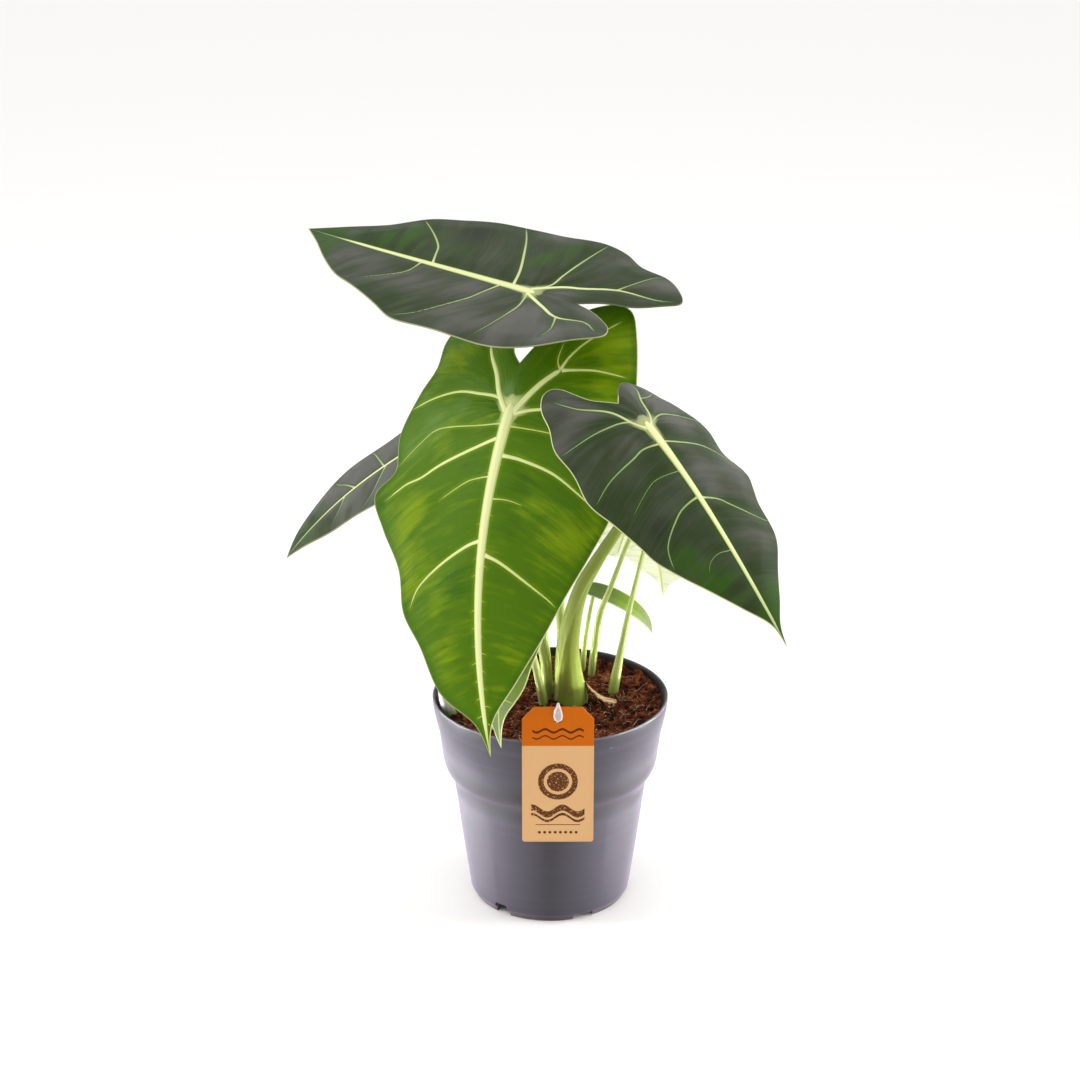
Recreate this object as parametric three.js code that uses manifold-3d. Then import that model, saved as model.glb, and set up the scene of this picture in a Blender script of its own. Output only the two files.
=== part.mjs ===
// Alocasia 'Frydek' in its nursery pot, with a hanging plant tag.
// Millimetres, +Z up. The origin is the centre of the pot's underside. The tag hangs at the front,
// which is -Y, and +X is to the right seen from there.

import * as THREE from 'three';
import { mergeVertices } from 'three/addons/utils/BufferGeometryUtils.js';
import Module from 'manifold-3d';

const wasm = await Module();
wasm.setup();

// ---------------------------------------------------------------- driving dimensions

const clearance = 0.3;          // gap between pieces that touch

// Pot: a 12 cm nursery pot with a deep collar, blow-moulded in thin plastic.
const potHeight = 110;
const potWall = 1.2;
const potSegments = 40;
const rimRoll = 0.4;            // the rim's rounded top stands this much over its edges
const floorHeight = 7.2;        // underside of the floor above the foot ring
const floorRadius = 40.4;       // radius of the floor's top
const footInside = 36.5;        // inner radius of the foot ring
const notchReach = 6;           // half the depth of a drain notch, through the foot ring
const notchBelow = 1;           // a notch is cut from this far under the ring
const notchRepeat = 3;          // each notch comes this many times round the ring
// Drain notches: angle of the first (degrees from +X), width at the bottom and top, and height.
const notches = [
  { angle: -127.5, foot: 9.4, head: 7, height: 6.4 },
  { angle: -64.5, foot: 11.6, head: 11, height: 3.1 },
];
const padRadius = 14;           // flat pad under the centre, level with the foot ring
const padSlope = 2;             // how far the pad's side leans out
// Outer wall as [radius, height], from the foot ring up to the rim.
const potOutside = [
  [39.2, 0], [39.6, 3], [41.2, 3.4], [41.6, 6], [45.5, 34], [49.1, 61.5], [49.8, 65], [51.4, 68.4],
  [53.4, 71.8], [54.6, 75.2], [56, 85], [57, 92], [58.8, 100], [60, 106.5], [60.2, potHeight],
];

// Soil: level a little below the rim, with low lumps.
const soilLevel = 103.5;
const soilEdge = 57.2;          // radius of the level part's edge
const soilLump = 1.3;
const soilRings = 7;
const soilSegments = 40;

// Leaf blades.
const bladeThickness = 0.7;
const ribHeight = 1.1;          // midrib under the blade, at the petiole
const lobeReach = 90;           // how far the blade surface is worked out behind the petiole
const stalkEnd = 1.9;           // radius of the thickest petiole under its blade
const stalkGap = 0.45;          // from a petiole's end to the midrib over it
const marginDetail = 400;       // steps in which a margin is searched for its spot by the petiole
// Steps of a blade's net: along the blade, round a lobe, from the petiole to the notch, from the
// midrib to the margin, and from a lobe's middle to its edge.
const largeNet = { bladeSteps: 22, lobeSteps: 14, rootSteps: 3, stepsAcross: 4, lobeRings: 3 };
const smallNet = { bladeSteps: 14, lobeSteps: 9, rootSteps: 2, stepsAcross: 3, lobeRings: 2 };
const largeBlade = 100;         // blades longer than this take the large net

// Tag: a card on a clear hook.
const tagCentre = 3.6;
const tagWidth = 35.3;
const tagTop = 131;
const tagBottom = 58;
const tagThickness = 0.8;
const tagFront = -63.4;         // the card's front face
const tagCorner = 1.5;
const tagChamfer = [5.8, 6.5];  // cut corners at the top: inwards and down
const eyeHeight = 124;          // hole in the card
const eyeRadius = 1.9;
const hookRadius = 0.6;

// ---------------------------------------------------------------- solids and meshes

const group = new THREE.Group();

function finish(color, roughness, metalness = 0) {
  return new THREE.MeshStandardMaterial({ color, roughness, metalness, flatShading: true });
}

const materials = {
  pot: finish(0x5b5866, 0.42),
  soil: finish(0x4a2a1c, 0.95),
  darkLeaf: finish(0x2f3d30, 0.5),
  freshLeaf: finish(0x4f8218, 0.45),
  paleLeaf: finish(0xd5e2b4, 0.5),
  stem: finish(0x86a046, 0.45),
  drySheath: finish(0xc9ab78, 0.8),
  tag: finish(0xe3b078, 0.7),
  hook: finish(0xe6d8cc, 0.2),
};

function addPiece(name, geometry, material) {
  const mesh = new THREE.Mesh(geometry, material);
  mesh.name = name;
  group.add(mesh);
}

// Keeps only positions and shared corners, so that the surface is one closed skin.
function weld(geometry) {
  const plain = geometry.clone();
  plain.deleteAttribute('normal');
  plain.deleteAttribute('uv');
  return mergeVertices(plain, 1e-4);
}

function toSolid(geometry) {
  const welded = weld(geometry);
  const corners = welded.index.array;
  const faces = [];
  for (let i = 0; i < corners.length; i += 3) {
    const [a, b, c] = [corners[i], corners[i + 1], corners[i + 2]];
    if (a !== b && b !== c && c !== a) faces.push(a, b, c);
  }
  return new wasm.Manifold(new wasm.Mesh({
    numProp: 3,
    vertProperties: new Float32Array(welded.attributes.position.array),
    triVerts: new Uint32Array(faces),
  }));
}

function toGeometry(solid) {
  const mesh = solid.getMesh();
  const geometry = new THREE.BufferGeometry();
  geometry.setAttribute('position', new THREE.BufferAttribute(mesh.vertProperties, 3));
  geometry.setIndex(new THREE.BufferAttribute(mesh.triVerts, 1));
  return geometry;
}

function meshFrom(vertices, faces) {
  const geometry = new THREE.BufferGeometry();
  geometry.setFromPoints(vertices);
  geometry.setIndex(faces);
  return geometry;
}

// A closed body turned about +Z. The profile is a list of [radius, height] that closes on itself
// or starts and ends on the axis, and runs so that the material lies on its left.
function turned(profile, segments) {
  const points = profile.map(([radius, height]) => new THREE.Vector2(radius, height));
  return new THREE.LatheGeometry(points, segments).rotateX(Math.PI / 2);
}

// Reads a value out of a list of [position, value] by straight lines between its entries.
function along(list, position) {
  const next = list.findIndex(([at]) => at >= position);
  if (next === 0) return list[0][1];
  if (next < 0) return list[list.length - 1][1];
  const [from, to] = [list[next - 1], list[next]];
  return from[1] + (to[1] - from[1]) * (position - from[0]) / (to[0] - from[0]);
}

// A round stem along a smooth path. radii lists [share of the length, radius], and swell makes it
// that much thicker all round. Rings follow the path without twisting.
function stemAlong(points, radii, { sides = 10, rings = 14, swell = 0 } = {}) {
  const knots = points.map((point) => new THREE.Vector3(...point));
  const path = new THREE.CatmullRomCurve3(knots, false, 'centripetal');
  const frames = path.computeFrenetFrames(rings, false);
  const vertices = [];
  const faces = [];
  for (let i = 0; i <= rings; i += 1) {
    const share = i / rings;
    const centre = path.getPointAt(share);
    const radius = along(radii, share) + swell;
    for (let j = 0; j < sides; j += 1) {
      const angle = 2 * Math.PI * j / sides;
      vertices.push(centre.clone()
        .addScaledVector(frames.normals[i], radius * Math.cos(angle))
        .addScaledVector(frames.binormals[i], radius * Math.sin(angle)));
    }
  }
  for (let i = 0; i < rings; i += 1) {
    for (let j = 0; j < sides; j += 1) {
      const a = i * sides + j;
      const b = i * sides + (j + 1) % sides;
      faces.push(a, b, b + sides, a, b + sides, a + sides);
    }
  }
  const last = rings * sides;
  for (let j = 1; j < sides - 1; j += 1) {
    faces.push(0, j + 1, j);
    faces.push(last, last + j, last + j + 1);
  }
  return meshFrom(vertices, faces);
}

// ---------------------------------------------------------------- pot and soil

function potInside(gap) {
  return potOutside
    .filter(([, height]) => height > floorHeight)
    .map(([radius, height]) => [radius - potWall - gap, height]);
}

// A wedge that narrows upwards, laid through the foot ring along +X.
function notchCutter({ foot, head, height }) {
  const outline = new THREE.Shape([
    new THREE.Vector2(-foot / 2, -notchBelow), new THREE.Vector2(foot / 2, -notchBelow),
    new THREE.Vector2(head / 2, height), new THREE.Vector2(-head / 2, height)]);
  const wedge = new THREE.ExtrudeGeometry(outline, { depth: 2 * notchReach, bevelEnabled: false });
  wedge.rotateX(Math.PI / 2).rotateZ(Math.PI / 2);
  return wedge.translate(footInside + potWall - notchReach, 0, 0);
}

function makePot() {
  const floorTop = floorHeight + potWall;
  const [rimRadius] = potOutside[potOutside.length - 1];
  const profile = [
    [0, 0], [padRadius, 0], [padRadius + padSlope, floorHeight],
    [footInside, floorHeight], [footInside + rimRoll, 0],
    ...potOutside,
    [rimRadius - potWall / 2, potHeight + rimRoll],
    ...potInside(0).reverse().filter(([, height]) => height > floorTop),
    [floorRadius, floorTop],
    [padRadius + padSlope - potWall, floorTop], [padRadius - potWall, potWall], [0, potWall],
  ];
  let pot = toSolid(turned(profile, potSegments));
  for (const notch of notches) {
    for (let i = 0; i < notchRepeat; i += 1) {
      const angle = THREE.MathUtils.degToRad(notch.angle + i * 360 / notchRepeat);
      pot = pot.subtract(toSolid(notchCutter(notch).rotateZ(angle)));
    }
  }
  return toGeometry(pot);
}

// Height of the lumpy soil surface at a point.
function soilTop(x, y) {
  const lumps = Math.sin(0.21 * x + 1.3) * Math.cos(0.17 * y - 0.4)
    + 0.6 * Math.sin(0.37 * x - 0.29 * y) + 0.4 * Math.cos(0.52 * y + 0.31 * x);
  return soilLevel + soilLump * lumps / 2;
}

function makeSoil(plantedStems) {
  const floorTop = floorHeight + potWall + clearance;
  const padTop = potWall + clearance;
  const wallTop = soilLevel - 2 * soilLump;
  const wall = potInside(clearance).filter(([, height]) => height > floorTop && height < wallTop);
  const profile = [
    [0, padTop], [padRadius - potWall - clearance, padTop],
    [padRadius + padSlope - potWall - clearance, floorTop], [floorRadius - clearance, floorTop],
    ...wall,
    [soilEdge, soilLevel],
  ];
  for (let i = 1; i <= soilRings; i += 1) profile.push([soilEdge * (1 - i / soilRings), soilLevel]);
  const geometry = weld(turned(profile, soilSegments));
  const spots = geometry.attributes.position;
  for (let i = 0; i < spots.count; i += 1) {
    if (spots.getZ(i) > wallTop) spots.setZ(i, soilTop(spots.getX(i), spots.getY(i)));
  }
  return plantedStems.reduce((soil, stem) => soil.subtract(toSolid(stem)), toSolid(geometry));
}

// ---------------------------------------------------------------- leaf blades

// A blade is a surface over a flat leaf plan, measured in millimetres from the petiole: "along"
// the midrib towards the tip, and "across" it, left positive, seen from above and looking to the
// tip. The midrib leaves the petiole at a heading (degrees from +X), a pitch (down) and a roll
// (left side up). From there it droops, bends to the left and twists by so many degrees over the
// blade's length, and the lobes behind the petiole droop and twist on their own. Each half starts
// at a fold angle from the blade's plane and curls by so many radians in a metre.
// left and right hold the margins of the two halves, from the tip round the lobe to the notch
// between the lobes.

const leaves = {
  leaf_top: {
    material: materials.darkLeaf,
    attach: [-9.9, 12, 318.6], heading: 140.5, pitch: -3, roll: -10,
    droop: 5, tipDroop: -5.5, lobeDroop: -0.5, bend: -5, twist: -6, lobeTwist: -13.5,
    fold: [5, 4.5], curl: [-2.3, -2.1], wave: [1.2, 4, 0.6],
    tip: 158, notch: [-28, -1],
    left: [
      [142, 9], [123, 21], [102, 32.5], [82, 40], [60, 48], [42, 55.5], [22, 58.5], [-2, 60], [-24, 60],
      [-44, 54], [-58, 41], [-66, 30], [-61, 18], [-49, 8], [-38, 2],
    ],
    right: [
      [140, -9], [120, -21], [103, -36], [82, -43], [62, -52.5], [42, -57], [20, -57], [0, -60.5],
      [-14, -60], [-28, -54], [-46, -50], [-62, -39], [-71, -28], [-64, -20], [-54, -12], [-40, -8],
    ],
  },
  leaf_front: {
    material: materials.freshLeaf,
    attach: [-19.8, -12, 267], heading: -120, pitch: 55, roll: 6.5,
    droop: 12, tipDroop: 11.5, lobeDroop: 55.5, bend: 23, twist: -22, lobeTwist: -18,
    fold: [-7, -7], curl: [-2.2, -1.2], wave: [1, 5, 2.1],
    tip: 171.5, notch: [-24, -5],
    left: [
      [155, 3.8], [137, 17.4], [115, 32], [94, 42.7], [71, 54], [50, 62], [28, 65], [4, 66], [-18, 63],
      [-38, 57], [-56, 49], [-69, 39], [-70, 27], [-61, 14], [-46, 5], [-33, -1],
    ],
    right: [
      [155, -5.4], [139, -21.4], [117, -31], [100, -41.8], [80, -47.4], [62, -60], [46, -71], [34, -63],
      [17, -68], [-2, -64], [-17, -61], [-34, -68], [-52, -64], [-67, -50], [-72, -34], [-62, -22],
      [-46, -17], [-32, -14],
    ],
  },
  leaf_right: {
    material: materials.darkLeaf,
    attach: [44.4, -86, 282.5], heading: -47.5, pitch: 34, roll: -1.5,
    droop: 22.5, tipDroop: -15, lobeDroop: 85, bend: -0.9, twist: 20, lobeTwist: 10,
    fold: [-5, -12], curl: [-8.9, -10], wave: [0.8, 5, 0.4],
    tip: 121.5, notch: [-18, -4],
    left: [
      [111, 2.6], [100, 9.6], [86, 18.4], [73, 28], [63, 32.5], [52, 34.5], [44, 38], [34, 43],
      [20, 41], [4, 45], [-12, 41], [-24, 34], [-33, 27], [-36, 19], [-32, 11], [-26, 3.5],
    ],
    right: [
      [110, -1.6], [98, -9.2], [84, -18.6], [72.5, -26.5], [60, -33.5], [50, -36.5], [36, -41],
      [20, -46], [4, -44.5], [-14, -44.5], [-29, -37.7], [-41, -32.5], [-48.5, -25], [-49.5, -18.5],
      [-45, -15.4], [-36.7, -14.4], [-27, -12],
    ],
  },
  leaf_left: {
    material: materials.darkLeaf,
    attach: [-50, 42, 239.1], heading: 186, pitch: 25, roll: 2,
    droop: 21, tipDroop: 13.5, lobeDroop: 10, bend: 2, twist: -11.5, lobeTwist: 0,
    fold: [-0.5, -1.5], curl: [-1, -1.7], wave: [0.8, 4, 1.2],
    tip: 110, notch: [-20, 0],
    left: [
      [97, 8.8], [77, 22.5], [58, 31.6], [40, 37], [20, 42], [0, 44], [-18, 42], [-34, 34], [-46, 21],
      [-40, 11], [-29, 5],
    ],
    right: [
      [97, -12.4], [79, -22.6], [58, -29.8], [38, -36.6], [20, -41.5], [0, -43], [-18, -41], [-33, -34],
      [-45, -21], [-40, -10], [-29, -4],
    ],
  },
  leaf_low: {
    material: materials.darkLeaf,
    attach: [-18.8, -46, 170.8], heading: -126, pitch: 61.5, roll: 5.5,
    droop: 5, tipDroop: 0, lobeDroop: 10, bend: 25, twist: 0, lobeTwist: 0,
    fold: [4.5, 3], curl: [-2, -2], wave: [0.6, 3, 0.5],
    tip: 64, notch: [-12, 0],
    left: [
      [58, 1], [52.5, 2.4], [48, 5], [43.3, 9.3], [37.5, 14], [31, 17.3], [17, 21], [2, 22.5],
      [-15, 20], [-27, 11], [-21, 4],
    ],
    right: [
      [58, -2.2], [53, -4], [45, -9], [37, -14], [20, -19.5], [2, -22.5], [-15, -20], [-27, -11],
      [-21, -4],
    ],
  },
  leaf_young: {
    material: materials.freshLeaf,
    attach: [23.4, 40, 151.1], heading: -18.5, pitch: 8.5, roll: 35,
    droop: 77.5, tipDroop: 25.5, lobeDroop: 10, bend: 0, twist: 0, lobeTwist: 0,
    fold: [14, 4.5], curl: [-2, -2], wave: [0, 1, 0],
    tip: 46.5, notch: [-3, 0],
    left: [[36, 2.6], [24, 4.1], [10, 4.6], [-2, 4], [-7, 2]],
    right: [[36, -2.6], [24, -4.1], [10, -4.6], [-2, -4], [-7, -2]],
  },
  leaf_pup_left: {
    material: materials.paleLeaf,
    attach: [42.3, 16, 205.3], heading: 104, pitch: 50, roll: -2,
    droop: 0, tipDroop: 0, lobeDroop: 10, bend: 0, twist: 0, lobeTwist: 0,
    fold: [3, 3], curl: [-2, -2], wave: [0.5, 3, 0.8],
    tip: 50, notch: [-8, 0],
    left: [[48.5, 3.5], [43, 8], [35, 12], [25, 15], [13, 16.5], [0, 16], [-11, 14], [-18, 8], [-14, 3]],
    right: [
      [48.5, -3.5], [43, -8], [35, -12], [25, -15], [13, -16.5], [0, -16], [-11, -14], [-18, -8],
      [-14, -3],
    ],
  },
  leaf_pup_right: {
    material: materials.paleLeaf,
    attach: [52, 50, 179], heading: 71.5, pitch: 49.5, roll: 2.5,
    droop: 0, tipDroop: 15, lobeDroop: 10, bend: 6, twist: 0, lobeTwist: 0,
    fold: [7, 6], curl: [-2, -2], wave: [0.6, 3, 2.4],
    tip: 66.5, notch: [-11, 0],
    left: [
      [60, 0.9], [54, 2], [49, 5], [43, 13], [36, 19], [24, 24.5], [8, 26.5], [-8, 25.5], [-20, 20],
      [-26, 11], [-20, 4],
    ],
    right: [
      [61, -1.3], [54.5, -3.5], [49.5, -6.7], [43, -12], [35, -18], [24, -23], [8, -26.5], [-8, -25.5],
      [-20, -20], [-26, -11], [-20, -4],
    ],
  },
};

const degrees = THREE.MathUtils.degToRad;

function turn(vectors, axis, angle) {
  for (const vector of vectors) vector.applyAxisAngle(axis, angle);
}

// Walks the midrib in steps of a millimetre, forwards (1) or back under the lobes (-1), and gives
// the centre and the three directions at each step.
function walkMidrib(leaf, start, direction) {
  const { forward, side, up, centre } = start;
  const steps = direction > 0 ? Math.ceil(leaf.tip) + 2 : lobeReach;
  const stations = [];
  for (let i = 0; i < steps; i += 1) {
    const share = (i + 0.5) / leaf.tip;
    const droop = direction > 0 ? leaf.droop + leaf.tipDroop * share : leaf.lobeDroop;
    const twist = direction > 0 ? leaf.twist : leaf.lobeTwist;
    turn([forward, up], side.clone(), direction * degrees(droop) / leaf.tip);
    turn([forward, side], up.clone(), direction * degrees(leaf.bend) / leaf.tip);
    turn([side, up], forward.clone(), direction * degrees(twist) / leaf.tip);
    centre.addScaledVector(forward, direction);
    stations.push({ centre: centre.clone(), side: side.clone(), up: up.clone() });
  }
  return stations;
}

function startFrame(leaf) {
  const [heading, pitch, roll] = [degrees(leaf.heading), degrees(leaf.pitch), degrees(leaf.roll)];
  const forward = new THREE.Vector3(
    Math.cos(pitch) * Math.cos(heading), Math.cos(pitch) * Math.sin(heading), -Math.sin(pitch));
  const side = new THREE.Vector3(-Math.sin(heading), Math.cos(heading), 0);
  const up = forward.clone().cross(side);
  turn([side, up], forward, roll);
  return { forward, side, up, centre: new THREE.Vector3(...leaf.attach) };
}

// The blade's middle surface: a function from the flat plan to a point in space.
function bladeSurface(leaf) {
  const start = startFrame(leaf);
  const root = { centre: start.centre.clone(), side: start.side.clone(), up: start.up.clone() };
  const ahead = walkMidrib(leaf, start, 1);
  const behind = walkMidrib(leaf, startFrame(leaf), -1);
  const stations = [...behind.reverse(), root, ...ahead];
  return (alongRib, across) => {
    const position = THREE.MathUtils.clamp(alongRib + lobeReach, 0, stations.length - 1.001);
    const [from, to] = [stations[Math.floor(position)], stations[Math.floor(position) + 1]];
    const blend = position - Math.floor(position);
    const centre = from.centre.clone().lerp(to.centre, blend);
    const side = from.side.clone().lerp(to.side, blend);
    const up = from.up.clone().lerp(to.up, blend);
    const half = across > 0 ? 0 : 1;
    const fold = degrees(leaf.fold[half]);
    const curl = leaf.curl[half] / 1000;
    const reach = Math.abs(across);
    const out = (Math.sin(fold + curl * reach) - Math.sin(fold)) / curl * Math.sign(across);
    const lift = (Math.cos(fold) - Math.cos(fold + curl * reach)) / curl;
    return centre.addScaledVector(side, out).addScaledVector(up, lift);
  };
}

function surfaceNormal(surface, alongRib, across) {
  const step = 0.5;
  const lengthwise = surface(alongRib + step, across).sub(surface(alongRib - step, across));
  const crosswise = surface(alongRib, across + step).sub(surface(alongRib, across - step));
  return lengthwise.cross(crosswise).normalize();
}

// Margin of one half, in two runs of even steps along a smooth line through its points: from the
// tip until it is abreast of the petiole, and from there round the lobe to the notch. lift is how
// far the blade's waves raise a spot.
function marginRuns(leaf, half, net) {
  const corners = [[leaf.tip, 0], ...leaf[half], leaf.notch];
  const line = new THREE.SplineCurve(corners.map(([x, y]) => new THREE.Vector2(x, y)));
  const abreast = line.getSpacedPoints(marginDetail).findIndex(({ x }) => x < 0) / marginDetail;
  const [waveHeight, waveCount, wavePhase] = leaf.wave;
  function run(from, to, steps) {
    return Array.from({ length: steps + 1 }, (_, i) => {
      const share = from + (to - from) * i / steps;
      const { x, y } = line.getPointAt(share);
      const wave = Math.sin(2 * Math.PI * waveCount * share + wavePhase) * Math.sin(Math.PI * share);
      return { x, y, lift: waveHeight * wave };
    });
  }
  return [run(0, abreast, net.bladeSteps), run(abreast, 1, net.lobeSteps)];
}

// Evenly spaced spots of the flat plan from one spot out to another, whose wave fades inwards.
function spotsBetween(inner, outer, steps) {
  const spots = [inner];
  for (let i = 1; i < steps; i += 1) {
    const out = i / steps;
    const x = inner.x + (outer.x - inner.x) * out;
    const y = inner.y + (outer.y - inner.y) * out;
    spots.push({ x, y, lift: outer.lift * out * out });
  }
  return [...spots, outer];
}

// A blade as a closed sheet over a flat net. In front of the petiole, lines run from the midrib out
// to the margin. Behind it, spokes run from a hub in the middle of each lobe out to the lobe's edge.
// The same net, moved along the surface's normal, makes the upper and the lower face.
function makeBlade(leaf) {
  const net = leaf.tip > largeBlade ? largeNet : smallNet;
  const surface = bladeSurface(leaf);
  const vertices = [];
  const faces = [];
  const known = new Map();

  function addSpot({ x, y, lift, onMidrib }) {
    const key = `${Math.round(x * 1000)} ${Math.round(y * 1000)}`;
    if (known.has(key)) return known.get(key);
    const middle = surface(x, y);
    const normal = surfaceNormal(surface, x, y);
    const rib = onMidrib ? ribHeight * (1 - x / leaf.tip) ** 0.7 : 0;
    vertices.push(middle.clone().addScaledVector(normal, lift + bladeThickness / 2));
    vertices.push(middle.clone().addScaledVector(normal, lift - bladeThickness / 2 - rib));
    known.set(key, vertices.length / 2 - 1);
    return vertices.length / 2 - 1;
  }

  function addFace(a, b, c) {
    if (a === b || b === c || c === a) return;
    faces.push(2 * a, 2 * b, 2 * c);
    faces.push(2 * a + 1, 2 * c + 1, 2 * b + 1);
  }

  // Fills the sheet between each line of spots and the next.
  function addSheet(lines, flip) {
    const numbers = lines.map((line) => line.map(addSpot));
    for (let i = 1; i < numbers.length; i += 1) {
      const [line, next] = [numbers[i - 1], numbers[i]];
      for (let j = 1; j < line.length; j += 1) {
        const corners = [line[j - 1], line[j], next[j], next[j - 1]];
        if (flip) corners.reverse();
        addFace(corners[0], corners[1], corners[2]);
        addFace(corners[0], corners[2], corners[3]);
      }
    }
  }

  function addWall(margin, flip) {
    for (let i = 1; i < margin.length; i += 1) {
      const [a, b] = [addSpot(margin[flip ? i : i - 1]), addSpot(margin[flip ? i - 1 : i])];
      faces.push(2 * a, 2 * a + 1, 2 * b + 1, 2 * a, 2 * b + 1, 2 * b);
    }
  }

  const midrib = Array.from({ length: net.bladeSteps + 1 }, (_, i) => (
    { x: leaf.tip * (1 - i / net.bladeSteps), y: 0, lift: 0, onMidrib: true }));
  const root = Array.from({ length: net.rootSteps - 1 }, (_, i) => {
    const back = 1 - (i + 1) / net.rootSteps;
    return { x: leaf.notch[0] * back, y: leaf.notch[1] * back, lift: 0 };
  });
  for (const half of ['left', 'right']) {
    const flip = half === 'right';
    const [bladeEdge, lobeEdge] = marginRuns(leaf, half, net);
    const lines = bladeEdge.map((edge, i) => spotsBetween(midrib[i], edge, net.stepsAcross));
    const loop = [...lines.at(-1), ...lobeEdge.slice(1), ...root];
    const hub = { x: 0, y: 0, lift: 0 };
    for (const { x, y } of loop) {
      hub.x += x / loop.length;
      hub.y += y / loop.length;
    }
    const spokes = [...loop, loop[0]].map((edge) => spotsBetween(hub, edge, net.lobeRings));
    addSheet(lines, flip);
    addSheet(spokes, flip);
    addWall([...bladeEdge, ...lobeEdge.slice(1)], flip);
  }
  return meshFrom(vertices, faces);
}

for (const [name, leaf] of Object.entries(leaves)) addPiece(name, makeBlade(leaf), leaf.material);

// ---------------------------------------------------------------- stems

// The last points of a petiole: it comes up to the blade from below, square to it, and ends just
// under the midrib, and lower where the blade's halves fold down past it.
function underBlade(leaf, approach) {
  const { forward, up, centre } = startFrame(leaf);
  const foldedDown = degrees(Math.max(0, -Math.min(...leaf.fold)));
  const drop = bladeThickness / 2 + ribHeight + stalkGap + stalkEnd * Math.sin(foldedDown);
  const end = centre.clone().addScaledVector(up, -drop);
  const before = end.clone().addScaledVector(up, -approach).addScaledVector(forward, -approach * 0.25);
  return [before.toArray(), end.toArray()];
}

// Each petiole: its points from the root up, and its radii by share of the length.
const stems = {
  petiole_right: {
    path: [[12, 9, 82], [10.8, 6.5, 104], [8.8, -3, 134], [10.9, -6, 153], [15.3, -9, 171],
      [22.6, -13, 187], [34.6, -29, 213.5], [44.6, -58, 245], ...underBlade(leaves.leaf_right, 10)],
    radii: [
      [0, 8.8], [0.1, 8.6], [0.13, 7.8], [0.24, 5.8], [0.35, 4.3], [0.5, 3.1], [0.75, 2.3], [1, 1.9],
    ],
    sides: 14,
    rings: 20,
  },
  petiole_front: {
    path: [[0, 9, 82], [-1.6, 7, 104], [-2.9, -1, 129.5], [-5.2, -3, 142], [-11, -1, 200],
      ...underBlade(leaves.leaf_front, 14)],
    radii: [[0, 2.6], [0.15, 2.6], [0.5, 2.1], [1, 1.7]],
  },
  petiole_top: {
    path: [[6, 21, 82], [6.2, 18.6, 104], [5.5, 9, 145], [2, 8, 200], [-5, 11, 270],
      ...underBlade(leaves.leaf_top, 14)],
    radii: [[0, 2.7], [0.1, 2.7], [0.5, 2.1], [1, 1.7]],
  },
  petiole_left: {
    path: [[0, 17, 82], [-0.5, 16.5, 104], [-4, 17, 140], [-20, 27, 190],
      ...underBlade(leaves.leaf_left, 12)],
    radii: [[0, 2.2], [0.15, 2.2], [0.5, 1.8], [1, 1.5]],
  },
  petiole_low: {
    path: [[-2, 4, 84], [-3.4, 1, 104], [-7.5, -14, 132], [-11, -28, 152],
      ...underBlade(leaves.leaf_low, 8)],
    radii: [[0, 2.4], [0.25, 2.4], [0.5, 1.9], [1, 1.3]],
    rings: 10,
  },
  petiole_young: {
    path: [[16.5, 43, 88], [17, 42.5, 104], [19.5, 41, 130], ...underBlade(leaves.leaf_young, 6)],
    radii: [[0, 1.8], [0.3, 1.7], [0.6, 1.2], [1, 0.9]],
    sides: 8,
    rings: 10,
  },
  petiole_pup_left: {
    path: [[21.4, 40, 88], [21.9, 38.4, 104], [25.9, 31, 141], [30.9, 26, 157.5], [38.3, 17, 183],
      ...underBlade(leaves.leaf_pup_left, 5)],
    radii: [[0, 2], [0.3, 1.9], [0.6, 1.3], [1, 1]],
    sides: 8,
    rings: 12,
  },
  petiole_pup_right: {
    path: [[32, 15, 86], [32.8, 15.4, 104], [35.9, 17, 123], [40.3, 20, 146],
      ...underBlade(leaves.leaf_pup_right, 5)],
    radii: [[0, 2.6], [0.25, 2.6], [0.4, 1.7], [0.7, 1.2], [1, 1]],
    sides: 8,
    rings: 12,
  },
  // A new shoot that is still rolled up, close to the pot's wall.
  shoot: {
    path: [[-47.8, -15.4, 90], [-50.4, -15.7, 104], [-53.2, -14.2, 112], [-56.4, -12.8, 119.5]],
    radii: [[0, 3.6], [0.5, 3.6], [0.8, 2.6], [1, 0.7]],
    sides: 8,
    rings: 8,
  },
};

const planted = [];
for (const [name, stem] of Object.entries(stems)) {
  addPiece(name, stemAlong(stem.path, stem.radii, stem), materials.stem);
  planted.push(stemAlong(stem.path, stem.radii, { ...stem, swell: clearance }));
}

// ---------------------------------------------------------------- dry sheath on the soil

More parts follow.
